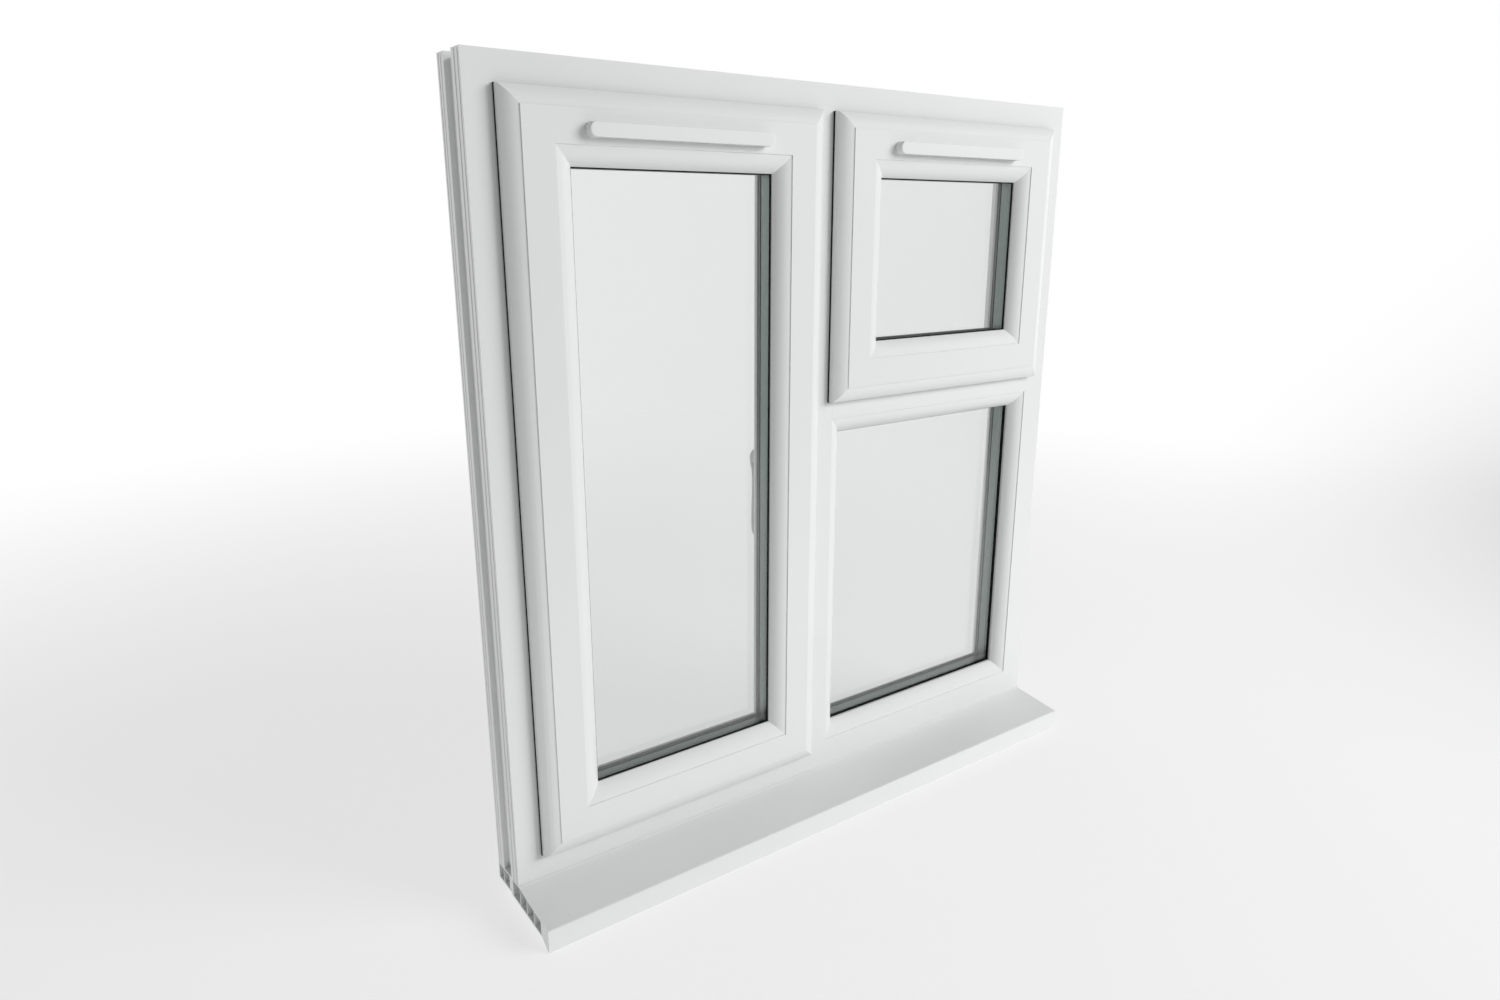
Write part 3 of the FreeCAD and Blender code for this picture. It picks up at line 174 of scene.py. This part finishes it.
def gasket_rubber(name, room_y):
    """Black rubber outside; beyond a depth the bead gaskets are a light grey, painted light
    standing in for the light that the glass panes keep off them.
    """
    material = rubber(name)
    nodes = material.node_tree.nodes
    shader = next(node for node in nodes if node.type == "BSDF_PRINCIPLED")
    black = shader.inputs["Base Color"].links[0].from_socket
    place = add(material, "TexCoord")
    split = add(material, "SeparateXYZ")
    join(material, place.outputs["Object"], split.inputs["Vector"])
    # depth mask of the painted light: gasket faces deeper than room_y get the lighter grey
    lit_beyond = add(material, "Math", operation="GREATER_THAN")
    lit_beyond.inputs[1].default_value = room_y
    join(material, split.outputs["Y"], lit_beyond.inputs[0])
    drift = object_noise(material, scale=60.0)
    # painted light: a light grey in place of the black rubber, standing in for light the glass
    # panes block
    painted_light_grey = ramp(material, drift.outputs["Fac"], (0.550, 0.596, 0.578), (0.590, 0.636, 0.618))
    blend = add(material, "Mix", data_type="RGBA")
    join(material, lit_beyond.outputs["Value"], blend.inputs["Factor"])
    join(material, black, blend.inputs["A"])
    join(material, painted_light_grey.outputs["Color"], blend.inputs["B"])
    join(material, blend.outputs["Result"], shader.inputs["Base Color"])
    return material


def metal(name, tone, rough, stretch):
    """Brushed or plated metal; the grain runs along the axis with the smallest stretch."""
    material, shader = new_material(name)
    grain = object_noise(material, scale=60.0, detail=4.0, stretch=stretch)
    low = [channel * 0.85 for channel in tone]
    colour = ramp(material, grain.outputs["Fac"], low, tone)
    join(material, colour.outputs["Color"], shader.inputs["Base Color"])
    gloss = spread(material, grain.outputs["Fac"], rough - 0.08, rough + 0.1)
    join(material, gloss.outputs["Result"], shader.inputs["Roughness"])
    bump(material, shader, grain.outputs["Fac"], strength=0.12, distance=0.2 * MM)
    shader.inputs["Metallic"].default_value = 1.0
    return material


def float_glass(name):
    """Clear float glass with the green cast of its iron and a trace of waviness."""
    material, shader = new_material(name)
    drift = object_noise(material, scale=2.0, detail=1.0)
    colour = ramp(material, drift.outputs["Fac"], (0.930, 0.939, 0.934), (0.940, 0.948, 0.944))
    join(material, colour.outputs["Color"], shader.inputs["Base Color"])
    bump(material, shader, drift.outputs["Fac"], strength=0.01, distance=0.5 * MM)
    shader.inputs["Transmission Weight"].default_value = 1.0
    shader.inputs["Roughness"].default_value = 0.0
    shader.inputs["IOR"].default_value = 1.5
    return material


# material slot of the record: its material
MATERIALS = {
    "upvc": vinyl("satin_vinyl", (0.800, 0.812, 0.806), 0.32),
    "vent_plastic": vinyl("moulded_vinyl", (0.815, 0.826, 0.820), 0.36),
    # the bead gaskets beyond ROOM_GASKETS carry painted light: a light grey for the light the
    # glass blocks
    "gasket": gasket_rubber("black_rubber_painted_light", ROOM_GASKETS),
    "glass": float_glass("float_glass"),
    # spacer colour: its own green-grey, made lighter as painted light for the light the glass
    # panes block from it
    "spacer": metal("spacer_alloy_lightened", (0.355, 0.405, 0.388), 0.42, (1, 12, 1)),
    "steel": metal("galvanised_steel", (0.60, 0.61, 0.62), 0.45, (3, 3, 3)),
    "stay_steel": metal("stainless_steel", (0.62, 0.61, 0.59), 0.30, (6, 6, 6)),
    "lock_steel": metal("zinc_plate", (0.60, 0.60, 0.57), 0.26, (8, 1, 1)),
    "shoe_plastic": rubber("black_nylon"),
    "handle_paint": vinyl("powder_coat", (0.820, 0.828, 0.822), 0.28),
    "button_metal": vinyl("button_coat", (0.74, 0.75, 0.745), 0.3),
}
SLOT_OF = {part["node"]: part["material_slot"] for part in frame["record"]["subparts"]}


# ------------------------------------------------------------------ parts shown as designed
EDGE_BREAK = {"upvc": 0.25, "vent_plastic": 0.5, "handle_paint": 0.8, "glass": 0.25}    # mm
EDGE_BREAK_SMALL = 0.2              # mm, for the slots not named
SHARP = math.radians(28)            # an edge sharper than this is broken
MITRE_SLACK = 0.01                  # how far a mitre face's normal may be off
MITRE_SHARE = 0.1                   # an edge with less than this of mitre face can be broken


def make_edge_marker():
    """A modifier group that marks the edges to break: sharp ones that aren't mitre joints.

    A mitre face stands upright at 45 degrees between X and Z, so its normal has no Y part
    and X and Z parts of equal size.
    """
    tree = bpy.data.node_groups.new("mark_edges", "GeometryNodeTree")
    tree.interface.new_socket("Geometry", in_out="INPUT", socket_type="NodeSocketGeometry")
    tree.interface.new_socket("Geometry", in_out="OUTPUT", socket_type="NodeSocketGeometry")
    start = tree.nodes.new("NodeGroupInput")
    end = tree.nodes.new("NodeGroupOutput")
    link = tree.links.new

    normal = tree.nodes.new("GeometryNodeInputNormal")
    size = make_node(tree, "ShaderNodeVectorMath", operation="ABSOLUTE")
    link(normal.outputs["Normal"], size.inputs[0])
    split = tree.nodes.new("ShaderNodeSeparateXYZ")
    link(size.outputs["Vector"], split.inputs["Vector"])
    level = make_node(tree, "FunctionNodeCompare", data_type="FLOAT", operation="EQUAL")
    level.inputs["Epsilon"].default_value = MITRE_SLACK
    link(split.outputs["X"], level.inputs["A"])
    link(split.outputs["Z"], level.inputs["B"])
    flat = make_node(tree, "FunctionNodeCompare", data_type="FLOAT", operation="LESS_THAN")
    flat.inputs["B"].default_value = MITRE_SLACK
    link(split.outputs["Y"], flat.inputs["A"])
    mitre_face = make_node(tree, "ShaderNodeMath", operation="MULTIPLY")
    link(level.outputs["Result"], mitre_face.inputs[0])
    link(flat.outputs["Result"], mitre_face.inputs[1])
    on_face = make_node(tree, "GeometryNodeFieldOnDomain", domain="FACE", data_type="FLOAT")
    link(mitre_face.outputs["Value"], on_face.inputs["Value"])

    angle = tree.nodes.new("GeometryNodeInputMeshEdgeAngle")
    sharp = make_node(tree, "FunctionNodeCompare", data_type="FLOAT", operation="GREATER_THAN")
    sharp.inputs["B"].default_value = SHARP
    link(angle.outputs["Unsigned Angle"], sharp.inputs["A"])
    free = make_node(tree, "FunctionNodeCompare", data_type="FLOAT", operation="LESS_THAN")
    free.inputs["B"].default_value = MITRE_SHARE
    on_edge = make_node(tree, "GeometryNodeFieldOnDomain", domain="EDGE", data_type="FLOAT")
    link(on_face.outputs["Value"], on_edge.inputs["Value"])
    link(on_edge.outputs["Value"], free.inputs["A"])
    both = make_node(tree, "ShaderNodeMath", operation="MULTIPLY")
    link(sharp.outputs["Result"], both.inputs[0])
    link(free.outputs["Result"], both.inputs[1])

    store = make_node(tree, "GeometryNodeStoreNamedAttribute", data_type="FLOAT", domain="EDGE")
    store.inputs["Name"].default_value = "bevel_weight_edge"
    link(start.outputs[0], store.inputs["Geometry"])
    link(both.outputs["Value"], store.inputs["Value"])
    link(store.outputs["Geometry"], end.inputs[0])
    return tree


EDGE_MARKER = make_edge_marker()
MITRED = ("frame_", "rail", "stile", "beads")       # words in the names of mitred parts
WELD_GAP = 1e-6                     # metres


def dress(name):
    """Give a designed part its material, merged corners and slightly broken edges."""
    node = NODES[name]
    slot = SLOT_OF[name]
    node.data.materials.clear()
    node.data.materials.append(MATERIALS[slot])
    weld = node.modifiers.new("weld", "WELD")
    weld.merge_threshold = WELD_GAP
    edge_limit = "ANGLE"
    if any(word in name for word in MITRED):
        node.modifiers.new("mark_edges", "NODES").node_group = EDGE_MARKER
        edge_limit = "WEIGHT"
    edge = node.modifiers.new("edge_break", "BEVEL")
    edge.width = EDGE_BREAK.get(slot, EDGE_BREAK_SMALL) * MM
    edge.segments = 2
    edge.limit_method = edge_limit
    edge.angle_limit = SHARP
    edge.use_clamp_overlap = True
    node.modifiers.new("normals", "WEIGHTED_NORMAL").keep_sharp = True


for node_name in NODES:
    dress(node_name)


# ------------------------------------------------------------------ shapes
def new_piece(name, shape, material, body):
    """A smooth-shaded piece made from a bmesh, riding on a body."""
    bmesh.ops.recalc_face_normals(shape, faces=shape.faces)
    mesh = bpy.data.meshes.new(name)
    shape.to_mesh(mesh)
    shape.free()
    for polygon in mesh.polygons:
        polygon.use_smooth = True
    mesh.materials.append(MATERIALS[material])
    piece = bpy.data.objects.new(name, mesh)
    bpy.context.scene.collection.objects.link(piece)
    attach(piece, body)
    return piece


def skin(rings):
    """A closed shape through rings of points, each ring with the same number of points."""
    shape = bmesh.new()
    rows = [[shape.verts.new(point) for point in ring] for ring in rings]
    count = len(rows[0])
    for first, second in zip(rows[:-1], rows[1:]):
        for index in range(count):
            after = (index + 1) % count
            shape.faces.new((first[index], first[after], second[after], second[index]))
    shape.faces.new(rows[0])
    shape.faces.new(list(reversed(rows[-1])))
    return shape


def carve(piece, cutters):
    """Cut shapes out of a piece and keep the result as its mesh."""
    tools = []
    for number, shape in enumerate(cutters):
        bmesh.ops.recalc_face_normals(shape, faces=shape.faces)
        mesh = bpy.data.meshes.new("cutter")
        shape.to_mesh(mesh)
        shape.free()
        tool = bpy.data.objects.new("cutter", mesh)
        bpy.context.scene.collection.objects.link(tool)
        cut = piece.modifiers.new("cut_%d" % number, "BOOLEAN")
        cut.operation = "DIFFERENCE"
        cut.solver = "EXACT"
        cut.object = tool
        tools.append(tool)
    bpy.context.view_layer.update()
    graph = bpy.context.evaluated_depsgraph_get()
    mesh = bpy.data.meshes.new_from_object(piece.evaluated_get(graph))
    piece.modifiers.clear()
    piece.data = mesh
    for tool in tools:
        bpy.data.objects.remove(tool)


def soften(piece, width, angle=40):
    """Small rounded edges with clean shading."""
    edge = piece.modifiers.new("soft_edges", "BEVEL")
    edge.width = width
    edge.segments = 2
    edge.limit_method = "ANGLE"
    edge.angle_limit = math.radians(angle)
    piece.modifiers.new("normals", "WEIGHTED_NORMAL").keep_sharp = True


def block(low, high):
    """A box between two corners."""
    shape = bmesh.new()
    bmesh.ops.create_cube(shape, size=1.0)
    low, high = Vector(low), Vector(high)
    for vert in shape.verts:
        vert.co = Vector(
            low[axis] + (high[axis] - low[axis]) * (vert.co[axis] + 0.5) for axis in range(3))
    return shape


def turned(centre, profile, segments=40):
    """A shape turned about the depth axis through a centre; profile holds (y, radius)."""
    rings = []
    for y, radius in profile:
        ring = []
        for step in range(segments):
            turn = 2 * math.pi * step / segments
            ring.append((
                centre[0] + radius * math.cos(turn), y, centre[1] + radius * math.sin(turn)))
        rings.append(ring)
    return skin(rings)


def pill_ring(centre, half, radius, y, inset, steps=12):
    """Outline of a bar with round ends along X, drawn in by an inset."""
    round_end = radius - inset
    straight = half - radius
    points = []
    for sign in (1, -1):
        for step in range(steps + 1):
            turn = math.pi * step / steps - math.pi / 2
            points.append((
                centre[0] + sign * (straight + round_end * math.cos(turn)), y,
                centre[1] + sign * round_end * math.sin(turn)))
    return points


def fillet(depth_from, depth_to, width, steps=5):
    """Quarter-round (depth, inset) pairs from a wall onto a face."""
    pairs = []
    for step in range(steps + 1):
        turn = math.pi / 2 * step / steps
        pairs.append((
            depth_from + (depth_to - depth_from) * math.sin(turn),
            width * (1 - math.cos(turn))))
    return pairs


# ------------------------------------------------------------------ trickle hoods
HOOD_SLOTS = 6
HOOD_RIB = 4 * MM                   # between two slots
HOOD_DRAFT = 0.3 * MM               # each side, from the wall to the shoulder
HOOD_SHOULDER = 4.0 * MM            # below the face, where the draft ends
HOOD_EDGE = 1.6 * MM                # width of the rounded edge
HOOD_EDGE_DEPTHS = 1.8 * MM, 0.2 * MM       # from the face, where the rounded edge runs
HOOD_SOFT = 0.3 * MM                # broken edges of the slots
HOOD_CROWN = 4.5 * MM, 7.5 * MM     # insets of the faintly crowned face
SLOT_FRONT = 4.5 * MM               # from the hood's face to its slots
SLOT_BACK = 2.5 * MM                # from the slots to the wall
SLOT_RISE = 0.55                    # top of the slots, as a share of the half height


def make_hood(prefix):
    """The outside hood: a drafted bar with round ends, soft edges and slots underneath."""
    node = prefix + "_trickle_canopy"
    low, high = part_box(node)
    centre = ((low.x + high.x) / 2, (low.z + high.z) / 2)
    half = (high.x - low.x) / 2
    radius = (high.z - low.z) / 2
    edge = fillet(*(low.y + depth for depth in HOOD_EDGE_DEPTHS), HOOD_EDGE)
    stages = [(high.y, 0.0), (low.y + HOOD_SHOULDER, HOOD_DRAFT)]
    stages += [(y, HOOD_DRAFT + inset) for y, inset in edge]
    stages += [(low.y + 0.05 * MM, HOOD_CROWN[0]), (low.y, HOOD_CROWN[1])]
    rings = [pill_ring(centre, half, radius, y, inset) for y, inset in stages]
    hood = new_piece(prefix + "_hood", skin(rings), "vent_plastic", prefix + "_sash")
    length = 2 * (half - radius) - HOOD_RIB
    pitch = length / HOOD_SLOTS
    cutters = []
    for number in range(HOOD_SLOTS):
        start = centre[0] - length / 2 + pitch * number + HOOD_RIB / 2
        cutters.append(block(
            (start, low.y + SLOT_FRONT, low.z - MM),
            (start + pitch - HOOD_RIB, high.y - SLOT_BACK, centre[1] + radius * SLOT_RISE)))
    carve(hood, cutters)
    soften(hood, HOOD_SOFT)
    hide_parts(node)


for sash in SASHES:
    make_hood(sash)


# ------------------------------------------------------------------ handles
def super_ring(place, wide_way, thick_way, half_wide, half_thick, count=32, power=2.7):
    """A rounded-rectangle ring about a point, spanned by two directions."""
    points = []
    for step in range(count):
        turn = 2 * math.pi * step / count
        c, s = math.cos(turn), math.sin(turn)
        across = math.copysign(abs(c) ** (2 / power), c) * half_wide
        through = math.copysign(abs(s) ** (2 / power), s) * half_thick
        points.append(place + wide_way * across + thick_way * through)
    return points


# along the lever in mm from the spindle, half width in mm, share of the full thickness
LEVER_SHAPE = (
    (-12.6, 2.5, 0.30), (-11.6, 5.8, 0.62), (-9.0, 9.2, 0.88), (-4.0, 12.3, 1.0),
    (2.0, 12.9, 1.0), (10.0, 11.6, 1.0), (20.0, 9.4, 0.97), (34.0, 8.3, 0.93),
    (55.0, 8.5, 0.93), (80.0, 9.3, 0.95), (100.0, 9.8, 0.96), (113.0, 9.4, 0.93),
    (120.5, 8.0, 0.84), (125.0, 5.6, 0.66), (127.4, 2.6, 0.36))
LEVER_WAY = {"casement": Vector((0, 0, -1)), "vent": Vector((-1, 0, 0))}
LEVER_HALF = 4.5 * MM               # half thickness of the blade
BOSS_RADIUS = 12.9 * MM
COLLAR_RADIUS = 13.0 * MM
RIM = 12.2 * MM                     # radius of boss and collar where they meet
BOSS_GAP = 0.3 * MM                 # between collar and boss
PLATE_HALF = 12.0 * MM
PLATE_DROP = 3.0 * MM               # plate's face below the collar's
PLATE_EDGE = 2.0 * MM
PLATE_SQUARE = 6.0                  # how square the plate's outline is; 2 would be an ellipse
BUTTON_TRAVEL = 3.0 * MM
BUTTON_GAP = 0.1 * MM               # between the button and its well
BUTTON_FLOOR = 0.3 * MM             # left under the pressed button
KEY_SLOT = 1.8 * MM, 0.35 * MM, 2.2 * MM    # half length, half width, depth
SCREW_PLACE = 21.5 * MM             # handle screw from the spindle, along the base
SCREW_HEAD = 3.3 * MM               # radius
SCREW_CROWN = 0.6 * MM              # height of the head over its seat
CROSS_HALF = 0.4 * MM               # half width of the cross recess
BLADE_SOFT = 0.4 * MM               # broken edges
ROUND_SOFT = 0.3 * MM
PLATE_SOFT = 0.2 * MM
BUTTON_SOFT = 0.15 * MM


def make_screw(name, centre, seat, body):
    """A raised countersunk screw head with a cross recess, seen from the room."""
    x, z = centre
    crown = seat + SCREW_CROWN
    profile = [
        (seat - 0.8 * MM, SCREW_HEAD * 0.75), (seat, SCREW_HEAD), (seat + 0.1 * MM, SCREW_HEAD),
        (seat + 0.4 * MM, SCREW_HEAD * 0.7), (crown, SCREW_HEAD * 0.3)]
    head = new_piece(name, turned(centre, profile, 32), "lock_steel", body)
    arm = SCREW_HEAD * 0.55
    recess = [
        block((x - half_x, seat - 0.3 * MM, z - half_z), (x + half_x, crown + MM, z + half_z))
        for half_x, half_z in ((arm, CROSS_HALF), (CROSS_HALF, arm))]
    carve(head, recess)


def make_blade(prefix, spindle, along, wide, back):
    """The lever's blade: a waisted, rounded bar from the boss to the tip."""
    through = Vector((0, 1, 0))
    origin = Vector((spindle[0], back - LEVER_HALF, spindle[1]))
    rings = []
    for place, half, share in LEVER_SHAPE:
        middle = origin + along * (place * MM) + through * (LEVER_HALF * (1 - share) * 0.5)
        rings.append(super_ring(middle, wide, through, half * MM, LEVER_HALF * share))
    return new_piece(
        prefix + "_lever_blade", skin(rings), "handle_paint", prefix + "_handle_lever_body")


def make_boss(prefix, spindle, front, back):
    """The round boss between the blade and the base."""
    profile = [(front, RIM), (front + 0.6 * MM, BOSS_RADIUS), (back, BOSS_RADIUS)]
    return new_piece(
        prefix + "_lever_boss", turned(spindle, profile), "handle_paint",
        prefix + "_handle_lever_body")


def make_plate(prefix, spindle, along, wide, wall, top, long_half):
    """The base's plate on the sash, with a rounded rim."""
    stages = [(wall, 0.0)] + fillet(top - PLATE_EDGE, top, PLATE_EDGE)
    rings = []
    for y, inset in stages:
        place = Vector((spindle[0], y, spindle[1]))
        rings.append(super_ring(
            place, along, wide, long_half - inset, PLATE_HALF - inset,
            count=64, power=PLATE_SQUARE))
    return new_piece(prefix + "_base_plate", skin(rings), "handle_paint", prefix + "_sash")


def make_collar(prefix, spindle, wall, top):
    """The base's round collar under the boss."""
    profile = [(wall + 0.5 * MM, COLLAR_RADIUS), (top - 0.8 * MM, COLLAR_RADIUS), (top, RIM)]
    return new_piece(
        prefix + "_base_collar", turned(spindle, profile), "handle_paint", prefix + "_sash")


def make_button(prefix, spindle, low, top, radius):
    """The push button: a turned cap with a dished face and a key slot."""
    profile = [
        (low, radius), (top - 0.8 * MM, radius), (top - 0.2 * MM, radius - 0.5 * MM),
        (top, radius - 1.2 * MM), (top - 0.2 * MM, radius - 2.2 * MM), (top - 0.3 * MM, 0.4 * MM)]
    button = new_piece(
        prefix + "_button", turned(spindle, profile), "button_metal",
        prefix + "_handle_button_body")
    half_long, half_slot, deep = KEY_SLOT
    carve(button, [block(
        (spindle[0] - half_long, top - deep, spindle[1] - half_slot),
        (spindle[0] + half_long, top + MM, spindle[1] + half_slot))])
    soften(button, BUTTON_SOFT)
    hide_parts(prefix + "_handle_button")


def make_handle(prefix):
    """Lever, base and push button on the room side of a sash."""
    base_low, base_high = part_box(prefix + "_handle_base")
    button_low, button_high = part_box(prefix + "_handle_button")
    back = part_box(prefix + "_handle_lever")[1].y
    spindle = ((base_low.x + base_high.x) / 2, (base_low.z + base_high.z) / 2)
    along = LEVER_WAY[prefix]
    wide = along.cross(Vector((0, 1, 0)))
    button_radius = (button_high.x - button_low.x) / 2
    well = button_radius + BUTTON_GAP

    blade = make_blade(prefix, spindle, along, wide, back)
    carve(blade, [turned(spindle, [(button_low.y - 4 * MM, well), (back + 2 * MM, well)])])
    soften(blade, BLADE_SOFT)

    boss_back = back - LEVER_HALF
    boss = make_boss(prefix, spindle, base_high.y + BOSS_GAP, boss_back)
    well_floor = button_low.y - BUTTON_TRAVEL - BUTTON_FLOOR
    carve(boss, [turned(spindle, [(well_floor, well), (boss_back + MM, well)])])
    soften(boss, ROUND_SOFT)

    long_half = max(base_high.x - base_low.x, base_high.z - base_low.z) / 2
    plate_top = base_high.y - PLATE_DROP
    plate = make_plate(prefix, spindle, along, wide, base_low.y, plate_top, long_half)
    soften(plate, PLATE_SOFT)
    collar = make_collar(prefix, spindle, base_low.y, base_high.y)
    soften(collar, ROUND_SOFT)
    for number, side in enumerate((1, -1)):
        place = Vector((spindle[0], plate_top, spindle[1])) + along * SCREW_PLACE * side
        name = "%s_base_screw_%d" % (prefix, number + 1)
        make_screw(name, (place.x, place.z), plate_top, prefix + "_sash")
    for piece, node in ((plate, "base"), (collar, "base"), (blade, "lever"), (boss, "lever")):
        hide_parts("%s_handle_%s" % (prefix, node))
    make_button(prefix, spindle, button_low.y, button_high.y, button_radius)


for sash in SASHES:
    make_handle(sash)


# ------------------------------------------------------------------ floor, light and camera
STUDIO_BACK = (0.10, 0.99, 0.0)     # the bright side of the studio, behind the window
STUDIO_TURN = (0.45, -0.45)         # how much a direction faces it where the dimming runs
STUDIO_DIM = 0.28                   # brightness of the studio's dim side and of its ceiling
CEILING = (0.30, 0.65)              # height of direction over which the ceiling dims


def smooth_range(tree, source, low, high):
    """A smooth rise from 0 to 1 as the source goes from low to high."""
    node = make_node(tree, "ShaderNodeMapRange", interpolation_type="SMOOTHSTEP")
    node.inputs["From Min"].default_value = low
    node.inputs["From Max"].default_value = high
    tree.links.new(source, node.inputs["Value"])
    return node.outputs["Result"]


def studio_tone(tree, direction):
    """Brightness of the studio in a direction: white behind the window, dimmer elsewhere."""
    dot = make_node(tree, "ShaderNodeVectorMath", operation="DOT_PRODUCT")
    dot.inputs[1].default_value = STUDIO_BACK
    tree.links.new(direction, dot.inputs[0])
    split = make_node(tree, "ShaderNodeSeparateXYZ")
    tree.links.new(direction, split.inputs["Vector"])
    dimness = make_node(tree, "ShaderNodeMath", operation="MAXIMUM")
    tree.links.new(smooth_range(tree, dot.outputs["Value"], *STUDIO_TURN), dimness.inputs[0])
    tree.links.new(smooth_range(tree, split.outputs["Z"], *CEILING), dimness.inputs[1])
    tone = make_node(tree, "ShaderNodeMapRange")
    tone.inputs["To Min"].default_value = 1.0
    tone.inputs["To Max"].default_value = STUDIO_DIM
    tree.links.new(dimness.outputs["Value"], tone.inputs["Value"])
    return tone.outputs["Result"]


def make_world():
    """A white studio, dimmer overhead and in front than behind the window."""
    world = bpy.data.worlds.new("studio")
    world.use_nodes = True
    tree = world.node_tree
    place = make_node(tree, "ShaderNodeTexCoord").outputs["Generated"]
    background = tree.nodes["Background"]
    background.inputs["Color"].default_value = (1, 1, 1, 1)
    tree.links.new(studio_tone(tree, place), background.inputs["Strength"])
    bpy.context.scene.world = world


FLOOR_RADIUS = 200.0                # far enough for its edge to stay below the horizon
FLOOR_GAP = 0.5 * MM                # between the window's lowest point and the floor
FLOOR_FADE = (0.9, 3.6)             # metres over which it fades into the studio
FLOOR_GLOW = 0.66                   # share of the floor's own brightness near the window
FLOOR_NEAR = 0.96                   # that brightness near the window
FLOOR_PAINT = (0.92, 0.92, 0.92, 1)
FLOOR_ROUGH = 0.9


def floor_material():
    """Matt pale paint with a glow that turns into the studio's own brightness far away."""
    material = bpy.data.materials.new("pale_floor")
    material.use_nodes = True
    tree = material.node_tree
    link = tree.links.new
    shader = tree.nodes["Principled BSDF"]
    shader.inputs["Base Color"].default_value = FLOOR_PAINT
    shader.inputs["Roughness"].default_value = FLOOR_ROUGH
    place = make_node(tree, "ShaderNodeTexCoord")
    away = make_node(tree, "ShaderNodeVectorMath", operation="NORMALIZE")
    link(place.outputs["Object"], away.inputs[0])
    far = make_node(tree, "ShaderNodeVectorMath", operation="LENGTH")
    link(place.outputs["Object"], far.inputs[0])
    distance = smooth_range(tree, far.outputs["Value"], *FLOOR_FADE)
    fade = make_node(tree, "ShaderNodeMapRange")
    fade.inputs["To Min"].default_value = FLOOR_GLOW
    link(distance, fade.inputs["Value"])
    bright = make_node(tree, "ShaderNodeMapRange")
    bright.inputs["To Min"].default_value = FLOOR_NEAR
    link(distance, bright.inputs["Value"])
    link(studio_tone(tree, away.outputs["Vector"]), bright.inputs["To Max"])
    glow = make_node(tree, "ShaderNodeEmission")
    link(bright.outputs["Result"], glow.inputs["Strength"])
    blend = make_node(tree, "ShaderNodeMixShader")
    link(fade.outputs["Result"], blend.inputs["Fac"])
    link(shader.outputs["BSDF"], blend.inputs[1])
    link(glow.outputs["Emission"], blend.inputs[2])
    link(blend.outputs["Shader"], tree.nodes["Material Output"].inputs["Surface"])
    return material


def make_floor():
    """A pale round floor just under the window."""
    mesh = bpy.data.meshes.new("floor")
    shape = bmesh.new()
    bmesh.ops.create_circle(shape, cap_ends=True, segments=96, radius=FLOOR_RADIUS)
    shape.to_mesh(mesh)
    shape.free()
    floor = bpy.data.objects.new("floor", mesh)
    floor.location.z = CAD_BOX[0][2] - FLOOR_GAP
    bpy.context.scene.collection.objects.link(floor)
    mesh.materials.append(floor_material())


KEY_PLACE = (3.0, -3.4, 2.4)        # high on the right, outside the window
KEY_TARGET = (0, 0, 0.60)           # about the window's middle
KEY_SIZE = (3.0, 2.4)
KEY_POWER = 185


def make_key_light():
    """One large soft panel that lights the vinyl but doesn't show in the glass."""
    data = bpy.data.lights.new("key_panel", "AREA")
    data.shape = "RECTANGLE"
    data.size, data.size_y = KEY_SIZE
    data.energy = KEY_POWER
    light = bpy.data.objects.new("key_panel", data)
    light.location = KEY_PLACE
    direction = Vector(KEY_TARGET) - Vector(KEY_PLACE)
    light.rotation_euler = direction.to_track_quat("-Z", "Y").to_euler()
    light.visible_camera = False
    light.visible_glossy = False
    light.visible_transmission = False
    bpy.context.scene.collection.objects.link(light)


CAMERA_PLACE = (-0.9506, -1.1820, 0.9030)
CAMERA_YAW = -35.98                 # degrees, to the right of straight ahead
CAMERA_PITCH = 15.58                # degrees, down
CAMERA_ROLL = 0.05
LENS = 23.83                        # mm
FILM_WIDTH = 36.0                   # mm


def make_camera():
    """Off the window's left front, above its middle, looking down at it."""
    data = bpy.data.cameras.new("camera")
    data.lens = LENS
    data.sensor_width = FILM_WIDTH
    camera = bpy.data.objects.new("camera", data)
    camera.location = CAMERA_PLACE
    turn = Matrix.Rotation(math.radians(CAMERA_YAW), 4, "Z")
    turn @= Matrix.Rotation(math.radians(90 - CAMERA_PITCH), 4, "X")
    turn @= Matrix.Rotation(math.radians(CAMERA_ROLL), 4, "Z")
    camera.rotation_euler = turn.to_euler()
    bpy.context.scene.collection.objects.link(camera)
    bpy.context.scene.camera = camera


make_floor()
make_world()
make_camera()
make_key_light()
bpy.context.scene.view_settings.view_transform = "Standard"
